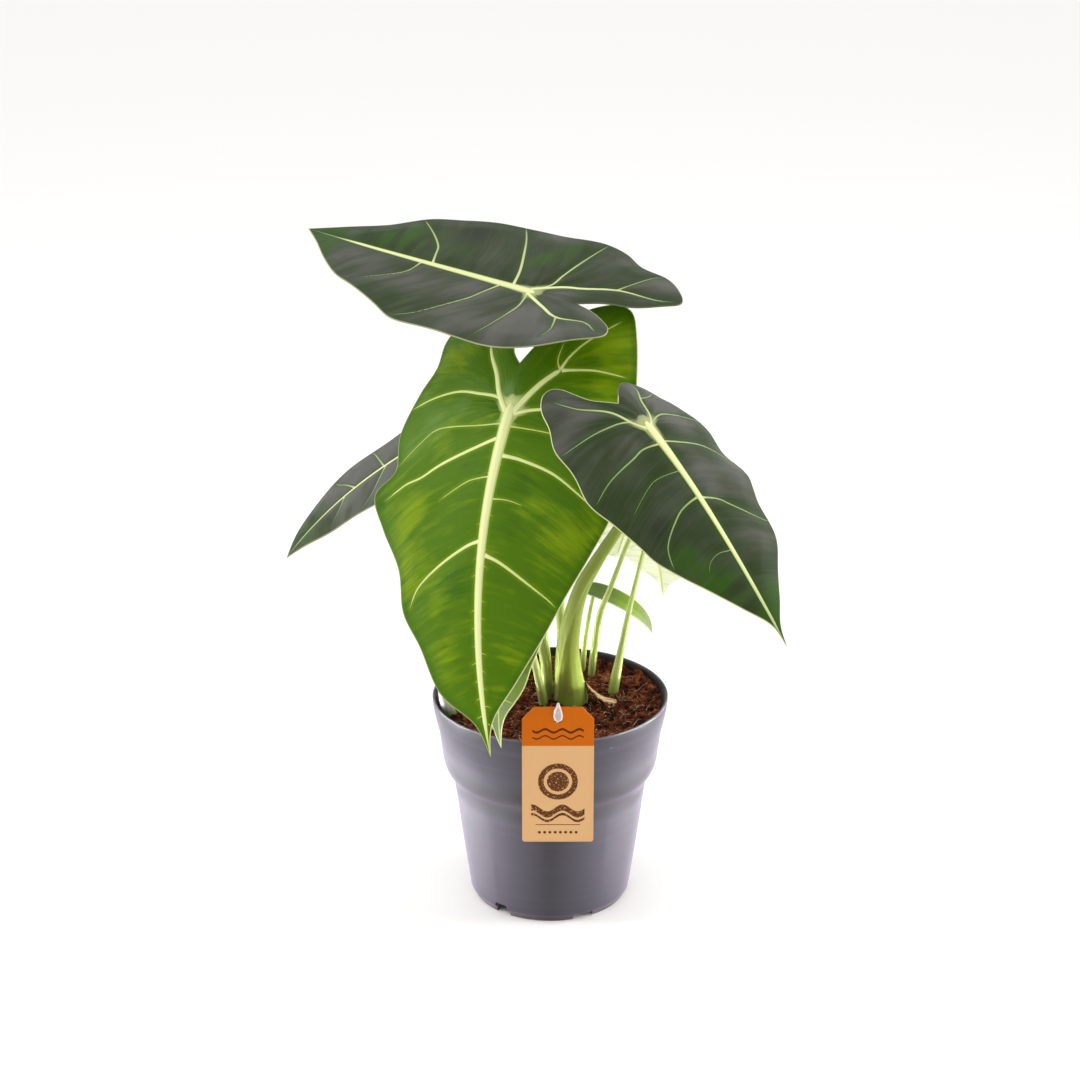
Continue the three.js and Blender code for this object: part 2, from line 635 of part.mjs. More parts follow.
// A curled scrap of an old leaf base: a thin strip, arched along its length, that leans on the
// main stem and lies on the soil.
function makeDrySheath() {
  const middle = new THREE.CatmullRomCurve3([
    new THREE.Vector3(19.6, 3.5, 110.6), new THREE.Vector3(23.5, 2.2, 108),
    new THREE.Vector3(28, 1, 105.4), new THREE.Vector3(33.5, 0.4, 104.6)]);
  const widths = [[0, 1.6], [0.3, 3], [0.65, 3.6], [0.85, 2.4], [1, 0.7]];
  const steps = 10;
  const across = 4;
  const thickness = 0.7;
  const vertices = [];
  const faces = [];
  for (let i = 0; i <= steps; i += 1) {
    const centre = middle.getPointAt(i / steps);
    const width = along(widths, i / steps);
    for (const face of [1, 0]) {
      for (let j = 0; j <= across; j += 1) {
        const out = 2 * j / across - 1;
        const arch = 0.9 * (1 - out * out);
        vertices.push(new THREE.Vector3(
          centre.x - 0.35 * out * width, centre.y + out * width, centre.z + arch + thickness * face));
      }
    }
  }
  const row = 2 * (across + 1);
  const ring = [];
  for (let j = 0; j <= across; j += 1) ring.push(j);
  for (let j = across; j >= 0; j -= 1) ring.push(across + 1 + j);
  for (let i = 0; i < steps; i += 1) {
    for (let j = 0; j < ring.length; j += 1) {
      const a = i * row + ring[j];
      const b = i * row + ring[(j + 1) % ring.length];
      faces.push(a, a + row, b + row, a, b + row, b);
    }
  }
  const last = steps * row;
  for (let j = 0; j < across; j += 1) {
    faces.push(j, j + 1, j + across + 2, j, j + across + 2, j + across + 1);
    faces.push(last + j, last + j + across + 2, last + j + 1);
    faces.push(last + j, last + j + across + 1, last + j + across + 2);
  }
  return meshFrom(vertices, faces);
}
addPiece('dry_sheath', makeDrySheath(), materials.drySheath);

// ---------------------------------------------------------------- tag and its hook

function makeTag() {
  const half = tagWidth / 2;
  const outline = new THREE.Shape();
  outline.moveTo(-half + tagCorner, tagBottom);
  outline.lineTo(half - tagCorner, tagBottom);
  outline.absarc(half - tagCorner, tagBottom + tagCorner, tagCorner, -Math.PI / 2, 0);
  outline.lineTo(half, tagTop - tagChamfer[1]);
  outline.lineTo(half - tagChamfer[0], tagTop);
  outline.lineTo(-half + tagChamfer[0], tagTop);
  outline.lineTo(-half, tagTop - tagChamfer[1]);
  outline.lineTo(-half, tagBottom + tagCorner);
  outline.absarc(-half + tagCorner, tagBottom + tagCorner, tagCorner, Math.PI, 1.5 * Math.PI);
  const eye = new THREE.Path();
  eye.absarc(0, eyeHeight, eyeRadius, 0, 2 * Math.PI, true);
  outline.holes.push(eye);
  const extrusion = { depth: tagThickness, bevelEnabled: false, curveSegments: 8 };
  const card = new THREE.ExtrudeGeometry(outline, extrusion);
  return card.rotateX(Math.PI / 2).translate(tagCentre, tagFront + tagThickness, 0);
}

// A clear wire: it stands in the soil behind the rim, leans over the rim, goes over the card's
// top edge, widens to a drop in front of the card and ends in the hole.
function hookPath() {
  const front = tagFront - hookRadius - clearance;
  const back = tagFront + tagThickness + hookRadius + clearance;
  const middle = (front + back) / 2;
  const path = [
    [-50, 86], [-51, 104], [-56, 117], [back + 0.2, 125], [back, 130.6], [middle, tagTop + 1.9],
    [front, 130.6], [front - 0.3, 127.5], [front + 0.1, eyeHeight + 0.7], [middle + 0.2, eyeHeight - 0.2],
  ];
  return path.map(([y, z]) => [tagCentre, y, z]);
}

const hookRadii = [[0, hookRadius], [1, hookRadius]];
const hookShape = { sides: 8, rings: 40 };

addPiece('tag', makeTag(), materials.tag);
addPiece('tag_hook', stemAlong(hookPath(), hookRadii, hookShape), materials.hook);
planted.push(stemAlong(hookPath(), hookRadii, { ...hookShape, swell: clearance }));

// ---------------------------------------------------------------- pot with its soil, round the stems

addPiece('soil', toGeometry(makeSoil(planted)), materials.soil);
addPiece('pot', makePot(), materials.pot);

export default group;
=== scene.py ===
import math
import random

import bmesh
import bpy
import numpy as np
from bpy.props import FloatProperty, FloatVectorProperty, IntProperty, PointerProperty
from mathutils import Matrix, Quaternion, Vector, noise
from mathutils.bvhtree import BVHTree
from mathutils.interpolate import poly_3d_calc


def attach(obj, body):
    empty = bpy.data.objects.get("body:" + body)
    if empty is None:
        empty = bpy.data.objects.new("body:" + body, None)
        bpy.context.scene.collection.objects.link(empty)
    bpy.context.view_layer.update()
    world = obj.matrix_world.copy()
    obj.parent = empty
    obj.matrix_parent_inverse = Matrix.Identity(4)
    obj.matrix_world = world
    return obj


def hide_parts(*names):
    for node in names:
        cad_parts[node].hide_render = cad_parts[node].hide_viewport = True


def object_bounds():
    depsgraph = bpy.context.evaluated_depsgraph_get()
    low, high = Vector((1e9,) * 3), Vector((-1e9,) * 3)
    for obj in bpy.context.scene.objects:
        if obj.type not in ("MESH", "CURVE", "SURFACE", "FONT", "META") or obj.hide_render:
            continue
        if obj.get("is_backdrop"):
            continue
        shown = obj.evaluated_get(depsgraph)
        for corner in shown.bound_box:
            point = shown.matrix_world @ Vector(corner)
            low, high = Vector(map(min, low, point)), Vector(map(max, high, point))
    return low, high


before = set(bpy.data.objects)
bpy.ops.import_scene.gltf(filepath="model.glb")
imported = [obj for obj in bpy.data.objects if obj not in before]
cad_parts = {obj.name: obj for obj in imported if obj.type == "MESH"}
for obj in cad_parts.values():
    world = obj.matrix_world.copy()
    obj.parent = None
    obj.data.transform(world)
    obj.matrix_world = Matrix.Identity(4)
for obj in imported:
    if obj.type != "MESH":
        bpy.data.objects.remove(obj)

bl_info = {
    "name": "Potted Alocasia",
    "version": (1, 0, 0),
    "blender": (4, 5, 0),
    "location": "3D View > Sidebar > Alocasia",
    "description": "Builds a potted alocasia with its veined blades, stalks, soil, pot and hanging tag",
    "category": "Add Mesh",
}

CAD_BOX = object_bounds()
MM = 0.001         # points are worked out in millimetres, and objects are in metres
PER_METRE = 1000
BODY = "root"


def rgb(red, green, blue):
    """Linear colour of an 8-bit display colour."""
    shares = [part / 255 for part in (red, green, blue)]
    return tuple(s / 12.92 if s < 0.04045 else ((s + 0.055) / 1.055) ** 2.4 for s in shares)


def scaled(colour, share):
    return [part * share for part in colour]


def colour_prop(name, description, default):
    return FloatVectorProperty(
        name=name, description=description, default=default, subtype="COLOR", min=0, max=1)


def length_prop(name, description, millimetres):
    return FloatProperty(name=name, description=description, default=millimetres * MM, unit="LENGTH")


# ---------------------------------------------------------------- shader expressions


class Value:
    """A node socket in an expression: each operator adds its Math node."""

    def __init__(self, finish, socket):
        self.finish = finish
        self.socket = socket

    def maths(self, operation, *terms):
        return self.finish.node("ShaderNodeMath", {"operation": operation}, dict(enumerate(terms)))

    def __add__(self, other):
        return self.maths("ADD", self, other)

    def __radd__(self, other):
        return self.maths("ADD", other, self)

    def __sub__(self, other):
        return self.maths("SUBTRACT", self, other)

    def __rsub__(self, other):
        return self.maths("SUBTRACT", other, self)

    def __mul__(self, other):
        return self.maths("MULTIPLY", self, other)

    def __rmul__(self, other):
        return self.maths("MULTIPLY", other, self)

    def __pow__(self, other):
        return self.maths("POWER", self, other)

    def __lt__(self, other):
        return self.maths("LESS_THAN", self, other)

    def __gt__(self, other):
        return self.maths("GREATER_THAN", self, other)

    def __abs__(self):
        return self.maths("ABSOLUTE", self)


class Nodes:
    """Adds nodes to a tree and gives their outputs as values."""

    def __init__(self, tree):
        self.tree = tree
        tree.nodes.clear()

    def node(self, kind, settings=None, values=None, output=0):
        """Adds a node: its settings first, then the value or link of each socket."""
        node = self.tree.nodes.new(kind)
        for key, setting in (settings or {}).items():
            if key == "stops":
                self.set_stops(node.color_ramp, setting)
            else:
                setattr(node, key, setting)
        for key, value in (values or {}).items():
            self.feed(node.inputs[key], value)
        return Value(self, node.outputs[output])

    def feed(self, socket, value):
        if isinstance(value, Value):
            self.tree.links.new(value.socket, socket)
        elif socket.type == "RGBA":
            socket.default_value = (*value[:3], 1)
        else:
            socket.default_value = value

    @staticmethod
    def set_stops(ramp, stops):
        while len(ramp.elements) < len(stops):
            ramp.elements.new(1)
        for element, (position, shade) in zip(ramp.elements, stops):
            element.position = position
            element.color = (*shade[:3], 1)

    def attribute(self, name, output="Fac"):
        return self.node("ShaderNodeAttribute", {"attribute_name": name}, output=output)

    def place(self):
        return self.node("ShaderNodeTexCoord", output="Object")

    def split(self, vector):
        parts = self.node("ShaderNodeSeparateXYZ", values={0: vector})
        return [Value(self, socket) for socket in parts.socket.node.outputs]

    def noise(self, vector, scale, detail=3, roughness=0.5):
        return self.node("ShaderNodeTexNoise", values={
            "Vector": vector, "Scale": scale, "Detail": detail, "Roughness": roughness})

    def drawn_noise(self, vector, scales, detail=3, roughness=0.5):
        """Noise with a scale of its own along each axis."""
        drawn = self.node("ShaderNodeVectorMath", {"operation": "MULTIPLY"}, {0: vector, 1: scales})
        return self.noise(drawn, 1.0, detail, roughness)

    def cells(self, vector, scale):
        return self.node("ShaderNodeTexVoronoi", values={"Vector": vector, "Scale": scale}, output="Distance")

    def mix(self, factor, first, second):
        return self.node("ShaderNodeMix", {"data_type": "RGBA"}, {0: factor, 6: first, 7: second}, output=2)

    def coats(self, colour, *coats):
        """Lays colours over the first one in turn, each as far as its mask: (mask, colour)."""
        for mask, coat in coats:
            colour = self.mix(mask, colour, coat)
        return colour

    def ramp(self, factor, *stops):
        return self.node("ShaderNodeValToRGB", {"stops": stops}, {0: factor})

    def fade(self, value, low, high):
        """Rises smoothly from 0 at low to 1 at high."""
        return self.node("ShaderNodeMapRange", {"interpolation_type": "SMOOTHSTEP"},
                         {0: value, 1: low, 2: high, 3: 0.0, 4: 1.0})

    def bump(self, height, distance, strength):
        return self.node("ShaderNodeBump", values={
            "Height": height, "Distance": distance, "Strength": strength}, output="Normal")

    def link_output(self, kind, shader):
        output = self.tree.nodes.new(kind)
        self.tree.links.new(shader.socket, output.inputs["Surface"])


class Finish(Nodes):
    """A node material with one Principled surface."""

    def __init__(self, name):
        self.material = bpy.data.materials.new(name)
        self.material.use_nodes = True
        super().__init__(self.material.node_tree)

    def surface(self, colour, roughness, specular, relief=None, **sockets):
        """Closes the material. relief is a bump's height, distance and strength. Any other key is a
        socket's name with _ for each space."""
        values = {"Base Color": colour, "Roughness": roughness, "Specular IOR Level": specular}
        if relief:
            values["Normal"] = self.bump(*relief)
        values.update((key.replace("_", " "), value) for key, value in sockets.items())
        self.link_output("ShaderNodeOutputMaterial", self.node("ShaderNodeBsdfPrincipled", values=values))
        return self.material


# ---------------------------------------------------------------- meshes and curves


def new_object(name, data):
    """An object in the scene that holds the data."""
    made = bpy.data.objects.new(name, data)
    bpy.context.scene.collection.objects.link(made)
    return made


def add_piece(name, slot, points, faces, materials, face_materials=None, marks=None, sharp=None, replaces=()):
    """Makes a smooth-shaded object from points in millimetres and lets it stand for CAD nodes.
    marks holds an attribute's values for each point."""
    mesh = bpy.data.meshes.new(name)
    mesh.from_pydata((np.asarray(points, float) * MM).tolist(), [], faces)
    for material in materials:
        mesh.materials.append(material)
    if face_materials is not None:
        mesh.polygons.foreach_set("material_index", face_materials)
    for key, values in (marks or {}).items():
        values = np.asarray(values, np.float32)
        if values.ndim == 2:
            mesh.attributes.new(key, "FLOAT_VECTOR", "POINT").data.foreach_set("vector", values.ravel())
        else:
            mesh.attributes.new(key, "FLOAT", "POINT").data.foreach_set("value", values)
    mesh.shade_smooth()
    if sharp:
        mesh.set_sharp_from_angle(angle=math.radians(sharp))
    mesh.update()
    piece = new_object(name, mesh)
    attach(piece, BODY)
    if replaces:
        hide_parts(*replaces)
    return piece


class Parts:
    """Collects points, faces and marks of several bodies for one object."""

    def __init__(self):
        self.points = []
        self.faces = []
        self.kinds = []
        self.marks = {}

    def add(self, points, faces, kind=0, **marks):
        first = len(self.points)
        self.points.extend(np.asarray(points, float).tolist())
        self.faces.extend([tuple(first + i for i in face) for face in faces])
        self.kinds.extend([kind] * len(faces))
        for key, values in marks.items():
            self.marks.setdefault(key, []).extend(values)

    def piece(self, name, slot, materials, **options):
        return add_piece(name, slot, self.points, self.faces, materials, self.kinds, self.marks, **options)


def turns(count):
    """Angles of equal steps round a circle."""
    return [2 * math.pi * i / count for i in range(count)]


def polar(radius, angle):
    return radius * math.cos(angle), radius * math.sin(angle)


def ring_faces(rings, sides, closed=False, turned_over=False):
    """Quads between each ring of points and the next, and from the last ring to the first if closed."""
    faces = []
    for i in range(rings if closed else rings - 1):
        step = ((i + 1) % rings - i) * sides
        for j in range(sides):
            a, b = i * sides + j, i * sides + (j + 1) % sides
            faces.append((a, a + step, b + step, b) if turned_over else (a, b, b + step, a + step))
    return faces


def smooth_line(knots, power, count):
    """Catmull-Rom curve through the knots (power 0 uniform, 0.5 centripetal), cut into equal steps."""
    knots = np.asarray(knots, float)
    first, last = (knots[:1], knots[-1:]) if power == 0 else (
        2 * knots[:1] - knots[1:2], 2 * knots[-1:] - knots[-2:-1])
    chain = np.concatenate([first, knots, last])
    pieces = []
    steps = np.linspace(0, 1, 33)[:, None]
    for a, b, c, d in zip(chain, chain[1:], chain[2:], chain[3:]):
        if power == 0:
            leave, arrive = (c - a) / 2, (d - b) / 2
        else:
            before, middle, after = [
                max(np.linalg.norm(q - p) ** power, 1e-4) for p, q in ((a, b), (b, c), (c, d))]
            leave = ((b - a) / before - (c - a) / (before + middle) + (c - b) / middle) * middle
            arrive = ((c - b) / middle - (d - b) / (middle + after) + (d - c) / after) * middle
        cube = 2 * b - 2 * c + leave + arrive
        square = -3 * b + 3 * c - 2 * leave - arrive
        pieces.append(b + leave * steps + square * steps ** 2 + cube * steps ** 3)
    line = np.concatenate(pieces)
    lengths = np.concatenate([[0], np.cumsum(np.linalg.norm(np.diff(line, axis=0), axis=1))])
    wanted = np.linspace(0, lengths[-1], count + 1)
    return np.stack([np.interp(wanted, lengths, column) for column in line.T], axis=1)


def carried_frames(line):
    """Two directions square to the line at each point, turned as little as possible."""
    tangents = np.gradient(line, axis=0)
    tangents /= np.linalg.norm(tangents, axis=1)[:, None]
    start = np.array([1.0, 0, 0]) if abs(tangents[0][0]) < 0.9 else np.array([0, 1.0, 0])
    firsts = []
    for tangent in tangents:
        start = start - tangent * (start @ tangent)
        start /= np.linalg.norm(start)
        firsts.append(start)
    return firsts, np.cross(tangents, firsts)


def tube(line, radii, sides, section=None):
    """A closed round body along a line. section gives the share of the radius at an angle and a share of
    the length. Returns points, faces, and each point's share of the length, angle and height."""
    firsts, seconds = carried_frames(line)
    points, places = [], []
    for i, (centre, radius) in enumerate(zip(line, radii)):
        share = i / (len(line) - 1)
        for turn in turns(sides):
            reach = radius * (section(turn, share) if section else 1)
            point = centre + reach * (math.cos(turn) * firsts[i] + math.sin(turn) * seconds[i])
            points.append(point)
            places.append((share, turn, point[2]))
    last = (len(line) - 1) * sides
    ends = [tuple(reversed(range(sides))), tuple(range(last, last + sides))]
    return points, ring_faces(len(line), sides) + ends, places


def turned(profile, segments):
    """A closed body turned about Z from a closed profile of (radius, height)."""
    points = [(*polar(radius, turn), height) for turn in turns(segments) for radius, height in profile]
    return points, ring_faces(segments, len(profile), closed=True, turned_over=True)


# ---------------------------------------------------------------- blades

LOBE_REACH = 90       # the surface is worked out this far behind the petiole
MARGIN_DETAIL = 400   # steps of a margin before it is cut to the net's steps
MARGIN_GAPS = (1.3, 0.75, 0.4, 0)   # last spots of a net line, by their distance from the margin
NET_STEPS = (90, 66, 12, 24, 18)    # along blade, lobe and notch, out to the margin, and out from a hub
SMALL_TIP, SMALL_NET = 100, 0.55    # a blade up to this long has this share of those steps
FAR = 1e3
RIB_DEPTH = 1.1       # midrib under the blade, at the petiole
STALK_GAP = 0.45      # from a stalk's end to the midrib over it in the construction model
VELVET_SWELL = 1.7    # how much more a velvety blade swells between its veins
VEIN_SWELL, MARGIN_SWELL = 6, 10    # distance from a vein and from the margin at which it is swollen
SLIM_VELVET, SLIM = 0.78, 0.92      # share of the construction model's vein widths, by look
MIDRIB_STEPS = 110
RIDGE_OVER = (9, 0.05, 0.08, 0.03)  # points across, height for a width of 1, least height, lift
RIDGE_UNDER = (5, 0.3, 0.05, -0.06)
UNDER_WIDTH = 1.25    # a vein is this much wider under the blade
UNDER_VEIN = 0.7      # thinner veins show on the upper face alone

# The flat plans and poses are those of the construction model. A pose's angles are in the order of POSE.
# Veins are lists of points (along, across) with the width at their start and end. bright, shade and sheen_tone
# are soft patches of tone: along, across, radius, strength; sheen_tone patches are painted sheen, the grey
# sheen of the velvety blades and the glossy highlight of the light blade. spurs is the spacing of the short
# veinlets on a midrib, line how strongly each half has its pale margin, and wave the height, count and phase
# of the waves along a margin.
POSE = ("heading", "pitch", "roll", "droop", "tip_droop", "lobe_droop", "bend", "twist", "lobe_twist")
BLADES = {
    "leaf_top": {
        "look": "dark", "line": (0.35, 0.12), "attach": (-9.9, 12, 318.6), "tip": 158, "notch": (-28, -1),
        "pose": (140.5, -3, -10, 5, -5.5, -0.5, -5, -6, -13.5), "fold": (5, 4.5), "curl": (-2.3, -2.1),
        "wave": (1.2, 4, 0.6), "midrib": (6.8, 5.6, 4.8, 4.2, 3.5, 2.9, 2.4, 0.8, 0.4),
        "left": [(142, 9), (123, 21), (102, 32.5), (82, 40), (60, 48), (42, 55.5), (22, 58.5), (-2, 60),
                 (-24, 60), (-44, 54), (-58, 41), (-66, 30), (-61, 18), (-49, 8), (-38, 2)],
        "right": [(140, -9), (120, -21), (103, -36), (82, -43), (62, -52.5), (42, -57), (20, -57),
                  (0, -60.5), (-14, -60), (-28, -54), (-46, -50), (-62, -39), (-71, -28), (-64, -20),
                  (-54, -12), (-40, -8)],
        "bright": [(125, 15, 12, 0.5), (111, -9, 12, 0.7), (93, -17, 14, 0.8), (59, -14, 10, 0.5),
                   (14, -29, 9, 0.7), (4, -46, 10, 0.4), (-44, -40, 10, 0.4), (48, 42, 10, 0.3),
                   (142, 0, 14, 0.8)],
        "shade": [(8, -19, 8, 0.5), (90, -30, 9, 0.4), (105, 6, 6, 0.4), (62, -34, 12, 0.8),
                  (30, -40, 10, 0.4)],
        "sheen_tone": [(83, 22, 12, 0.6), (54, 21, 12, 0.5), (22, 17, 12, 0.8), (-17, 24, 12, 0.9),
                  (-52, -40, 12, 0.8), (58, -35, 8, 0.1), (30, -58, 10, 0.4), (-17, -43, 8, 0.3),
                  (-18, -5, 8, 0.6), (-44, 5, 10, 0.6), (10, 45, 14, 0.8), (-20, 45, 14, 1),
                  (-45, 40, 12, 1), (130, -6, 5, 0.5), (112, 16, 12, 0.8)],
        "veins": [
            (1.7, 0.8, [(66, -1), (71, -9), (76, -16), (88, -25), (103, -34)]),
            (2.2, 0.9, [(12, -1), (19, -15), (30, -31), (40, -44), (51, -56)]),
            (2.0, 0.8, [(1, -2), (-5, -10), (-4, -21), (-3, -35), (-2, -60)]),
            (3.4, 0.9, [(3, -1), (-11, -11), (-21, -15), (-38, -23), (-58, -24), (-67, -27)]),
            (1.4, 0.6, [(-36, -22), (-39, -34), (-42, -46), (-46, -50)]),
            (1.4, 0.5, [(72, 1), (70, 13), (76, 22), (86, 31)]),
            (1.7, 0.6, [(18, 1), (19, 13), (21, 26), (32, 46), (43, 53)]),
            (1.6, 0.5, [(0, 2), (-7, 17), (-9, 29), (-10, 41), (-10, 54)]),
            (3.2, 0.6, [(2, 1), (-17, 12), (-32, 20), (-47, 18), (-60, 27)]),
            (1.3, 0.4, [(-31, 19), (-37, 29), (-40, 36), (-41, 45)]),
        ],
    },
    "leaf_front": {
        "look": "fresh", "line": (0.75, 0.3), "attach": (-19.8, -12, 267), "tip": 171.5, "notch": (-24, -5),
        "pose": (-120, 55, 6.5, 12, 11.5, 55.5, 23, -22, -18), "fold": (-7, -7), "curl": (-2.2, -1.2),
        "wave": (1, 5, 2.1), "midrib": (7.6, 5.4, 4.2, 3.2, 1.3), "spurs": 8.5,
        "left": [(155, 3.8), (137, 17.4), (115, 32), (94, 42.7), (71, 54), (50, 62), (28, 65), (4, 66),
                 (-18, 63), (-38, 57), (-56, 49), (-69, 39), (-70, 27), (-61, 14), (-46, 5), (-33, -1)],
        "right": [(155, -5.4), (139, -21.4), (117, -31), (100, -41.8), (80, -47.4), (62, -60), (46, -71),
                  (34, -63), (17, -68), (-2, -64), (-17, -61), (-34, -68), (-52, -64), (-67, -50),
                  (-72, -34), (-62, -22), (-46, -17), (-32, -14)],
        "bright": [(54, -43, 14, 0.8), (82, -40, 14, 0.9), (21, -36, 10, 0.6), (-22, -49, 14, 0.8),
                   (58, 50, 13, 0.8), (48, 26, 9, 0.5), (-46, 39, 16, 0.9), (-20, 47, 16, 0.7),
                   (121, -17, 10, 0.6), (121, 16, 10, 0.6), (98, -22, 9, 0.5), (74, 36, 12, 0.6)],
        "shade": [(-6, -7, 9, 0.9), (48, -66, 7, 1), (87, -13, 10, 0.9), (35, 15, 10, 0.6),
                  (104, 29, 9, 0.5), (96, -38, 7, 0.5), (66, 58, 6, 0.9), (5, 20, 9, 0.5),
                  (30, -14, 8, 0.5), (62, 14, 8, 0.5)],
        "sheen_tone": [(11, -46, 11, 0.5), (24, -56, 8, 0.4), (-8, -5, 7, 0.7), (-2, -60, 8, 0.3),
                  (0, -30, 8, 0.4)],
        "veins": [
            (3.6, 1.6, [(3, -1), (-7, -10), (-17, -17), (-26, -26), (-33, -32)]),
            (1.6, 0.7, [(-32, -31), (-35, -42), (-36, -56)]),
            (1.5, 0.7, [(-32, -31), (-45, -33), (-58, -40)]),
            (2.0, 0.8, [(0, -3), (-5, -10), (-6, -24), (-6, -37), (-2, -51), (5, -65)]),
            (0.8, 0.3, [(8, -2), (10, -16), (13, -41), (20, -51), (33, -63)]),
            (2.1, 0.8, [(15, -1), (20, -12), (30, -33), (37, -44), (41, -53), (49, -63)]),
            (0.8, 0.3, [(35, -1), (36, -7), (38, -14), (43, -22), (48, -29)]),
            (1.9, 0.6, [(67, -1), (70, -9), (79, -23), (89, -34), (99, -38)]),
            (4.2, 3.0, [(4, 1), (-7, 7), (-17, 13), (-26, 20)]),
            (1.8, 0.7, [(-25, 19), (-34, 21), (-45, 26), (-62, 37)]),
            (1.0, 0.4, [(-25, 19), (-30, 15.5), (-40, 14)]),
            (1.9, 0.7, [(-25, 20), (-28, 30), (-30, 39), (-31, 54)]),
            (2.2, 0.8, [(3, 2), (-1, 12), (-4, 26), (-5, 44), (-2, 60)]),
            (0.8, 0.3, [(9, 2), (9, 23), (11, 40)]),
            (2.1, 0.8, [(24, 2), (25, 13), (30, 31), (41, 48), (48, 56)]),
            (0.7, 0.3, [(46, 2), (46, 10), (48, 18)]),
            (1.9, 0.6, [(74, 2), (77, 9), (83, 18), (94, 32), (100, 38)]),
        ],
    },
    "leaf_right": {
        "look": "dark", "line": (0.15, 0.75), "attach": (44.4, -86, 282.5), "tip": 121.5, "notch": (-18, -4),
        "pose": (-47.5, 34, -1.5, 22.5, -15, 85, -0.9, 20, 10), "fold": (-5, -12), "curl": (-8.9, -10),
        "wave": (0.8, 5, 0.4), "midrib": (5.8, 3.5, 2.5, 1.8, 0.9),
        "left": [(111, 2.6), (100, 9.6), (86, 18.4), (73, 28), (63, 32.5), (52, 34.5), (44, 38), (34, 43),
                 (20, 41), (4, 45), (-12, 41), (-24, 34), (-33, 27), (-36, 19), (-32, 11), (-26, 3.5)],
        "right": [(110, -1.6), (98, -9.2), (84, -18.6), (72.5, -26.5), (60, -33.5), (50, -36.5), (36, -41),
                  (20, -46), (4, -44.5), (-14, -44.5), (-29, -37.7), (-41, -32.5), (-48.5, -25),
                  (-49.5, -18.5), (-45, -15.4), (-36.7, -14.4), (-27, -12)],
        "bright": [(64, -22, 8, 0.8), (84, -15, 10, 1), (107, 2, 12, 0.9), (14, -33, 9, 0.2),
                   (92, 9, 8, 0.3)],
        "shade": [(49, -24, 8, 0.7), (25, -38, 8, 0.4), (3, -8, 5, 0.5), (-30, -30, 8, 0.6),
                  (40, 22, 8, 0.3)],
        "sheen_tone": [(35, 29, 12, 0.45), (40, 8, 7, 0.5), (1, 21, 9, 0.7), (-12, 21, 12, 1),
                  (-22, -24, 12, 0.7), (-14, -42, 8, 0.7), (73, 16, 10, 0.4), (30, 8, 8, 0.6),
                  (3, -14, 7, 0.4), (-30, 20, 12, 1), (-40, -20, 10, 0.8), (25, 42, 10, 0.8)],
        "veins": [
            (1.3, 0.5, [(0, 1), (-5, 12), (-5, 22), (-2, 41), (-1, 46)]),
            (1.3, 0.5, [(10, 0), (12, 9), (17, 28), (28, 43), (33, 46)]),
            (1.2, 0.5, [(43, 1), (46, 9), (51, 15), (61, 28), (64, 34)]),
            (1.9, 0.5, [(1, 1), (-6, 6), (-16, 10), (-27, 18), (-40, 22)]),
            (0.9, 0.3, [(-18, 11), (-20, 20), (-26, 30)]),
            (2.2, 0.5, [(2, -1), (-4, -6), (-15, -11), (-27, -21), (-40, -25)]),
            (1.3, 0.4, [(-5, -6), (-7, -11), (-8, -17), (-9, -27), (-9, -44)]),
            (1.3, 0.4, [(11, -1), (10, -10), (12, -17), (16, -32), (22, -43)]),
            (0.5, 0.2, [(27, -1), (26, -12), (28, -19), (36, -32)]),
            (1.2, 0.5, [(42, -1), (43, -7), (46, -14), (56, -25), (67, -28)]),
            (0.5, 0.2, [(71, -1), (70, -7), (72, -12), (76, -15)]),
        ],
    },
    "leaf_left": {
        "look": "dark", "line": (0.3, 0.3), "attach": (-50, 42, 239.1), "tip": 110, "notch": (-20, 0),
        "pose": (186, 25, 2, 21, 13.5, 10, 2, -11.5, 0), "fold": (-0.5, -1.5), "curl": (-1, -1.7),
        "wave": (0.8, 4, 1.2), "midrib": (3.8, 3.0, 2.2, 1.5, 0.8),
        "left": [(97, 8.8), (77, 22.5), (58, 31.6), (40, 37), (20, 42), (0, 44), (-18, 42), (-34, 34),
                 (-46, 21), (-40, 11), (-29, 5)],
        "right": [(97, -12.4), (79, -22.6), (58, -29.8), (38, -36.6), (20, -41.5), (0, -43), (-18, -41),
                  (-33, -34), (-45, -21), (-40, -10), (-29, -4)],
        "bright": [(90, 0, 14, 0.5), (30, -30, 12, 0.2)],
        "sheen_tone": [(40, 10, 30, 0.9), (10, -15, 30, 0.9), (60, -10, 20, 0.8), (-20, 10, 24, 0.9)],
        "veins": [
            (1.2, 0.4, [(59, -1), (63, -11), (67, -18), (69, -23)]),
            (1.3, 0.5, [(40, 0), (42, -14), (44, -27), (46, -34)]),
            (1.3, 0.5, [(12, -1), (15, -14), (20, -30), (25, -39)]),
            (1.2, 0.5, [(39, 1), (46, 14), (51, 22), (58, 29)]),
            (1.0, 0.4, [(66, 1), (70, 8), (76, 15)]),
            (1.3, 0.5, [(12, 1), (16, 14), (22, 30), (27, 38)]),
            (2.2, 0.5, [(0, 1), (-12, 9), (-25, 17), (-38, 22)]),
            (2.2, 0.5, [(0, -1), (-12, -9), (-25, -17), (-38, -22)]),
            (1.1, 0.4, [(-8, 6), (-10, 20), (-10, 38)]),
            (1.1, 0.4, [(-8, -6), (-10, -20), (-10, -38)]),
        ],
    },
    "leaf_low": {
        "look": "low", "line": (0.8, 0.8), "attach": (-18.8, -46, 170.8), "tip": 64, "notch": (-12, 0),
        "pose": (-126, 61.5, 5.5, 5, 0, 10, 25, 0, 0), "fold": (4.5, 3), "curl": (-2, -2),
        "wave": (0.6, 3, 0.5), "midrib": (2.4, 1.9, 1.5, 1.1, 0.6),
        "left": [(58, 1), (52.5, 2.4), (48, 5), (43.3, 9.3), (37.5, 14), (31, 17.3), (17, 21), (2, 22.5),
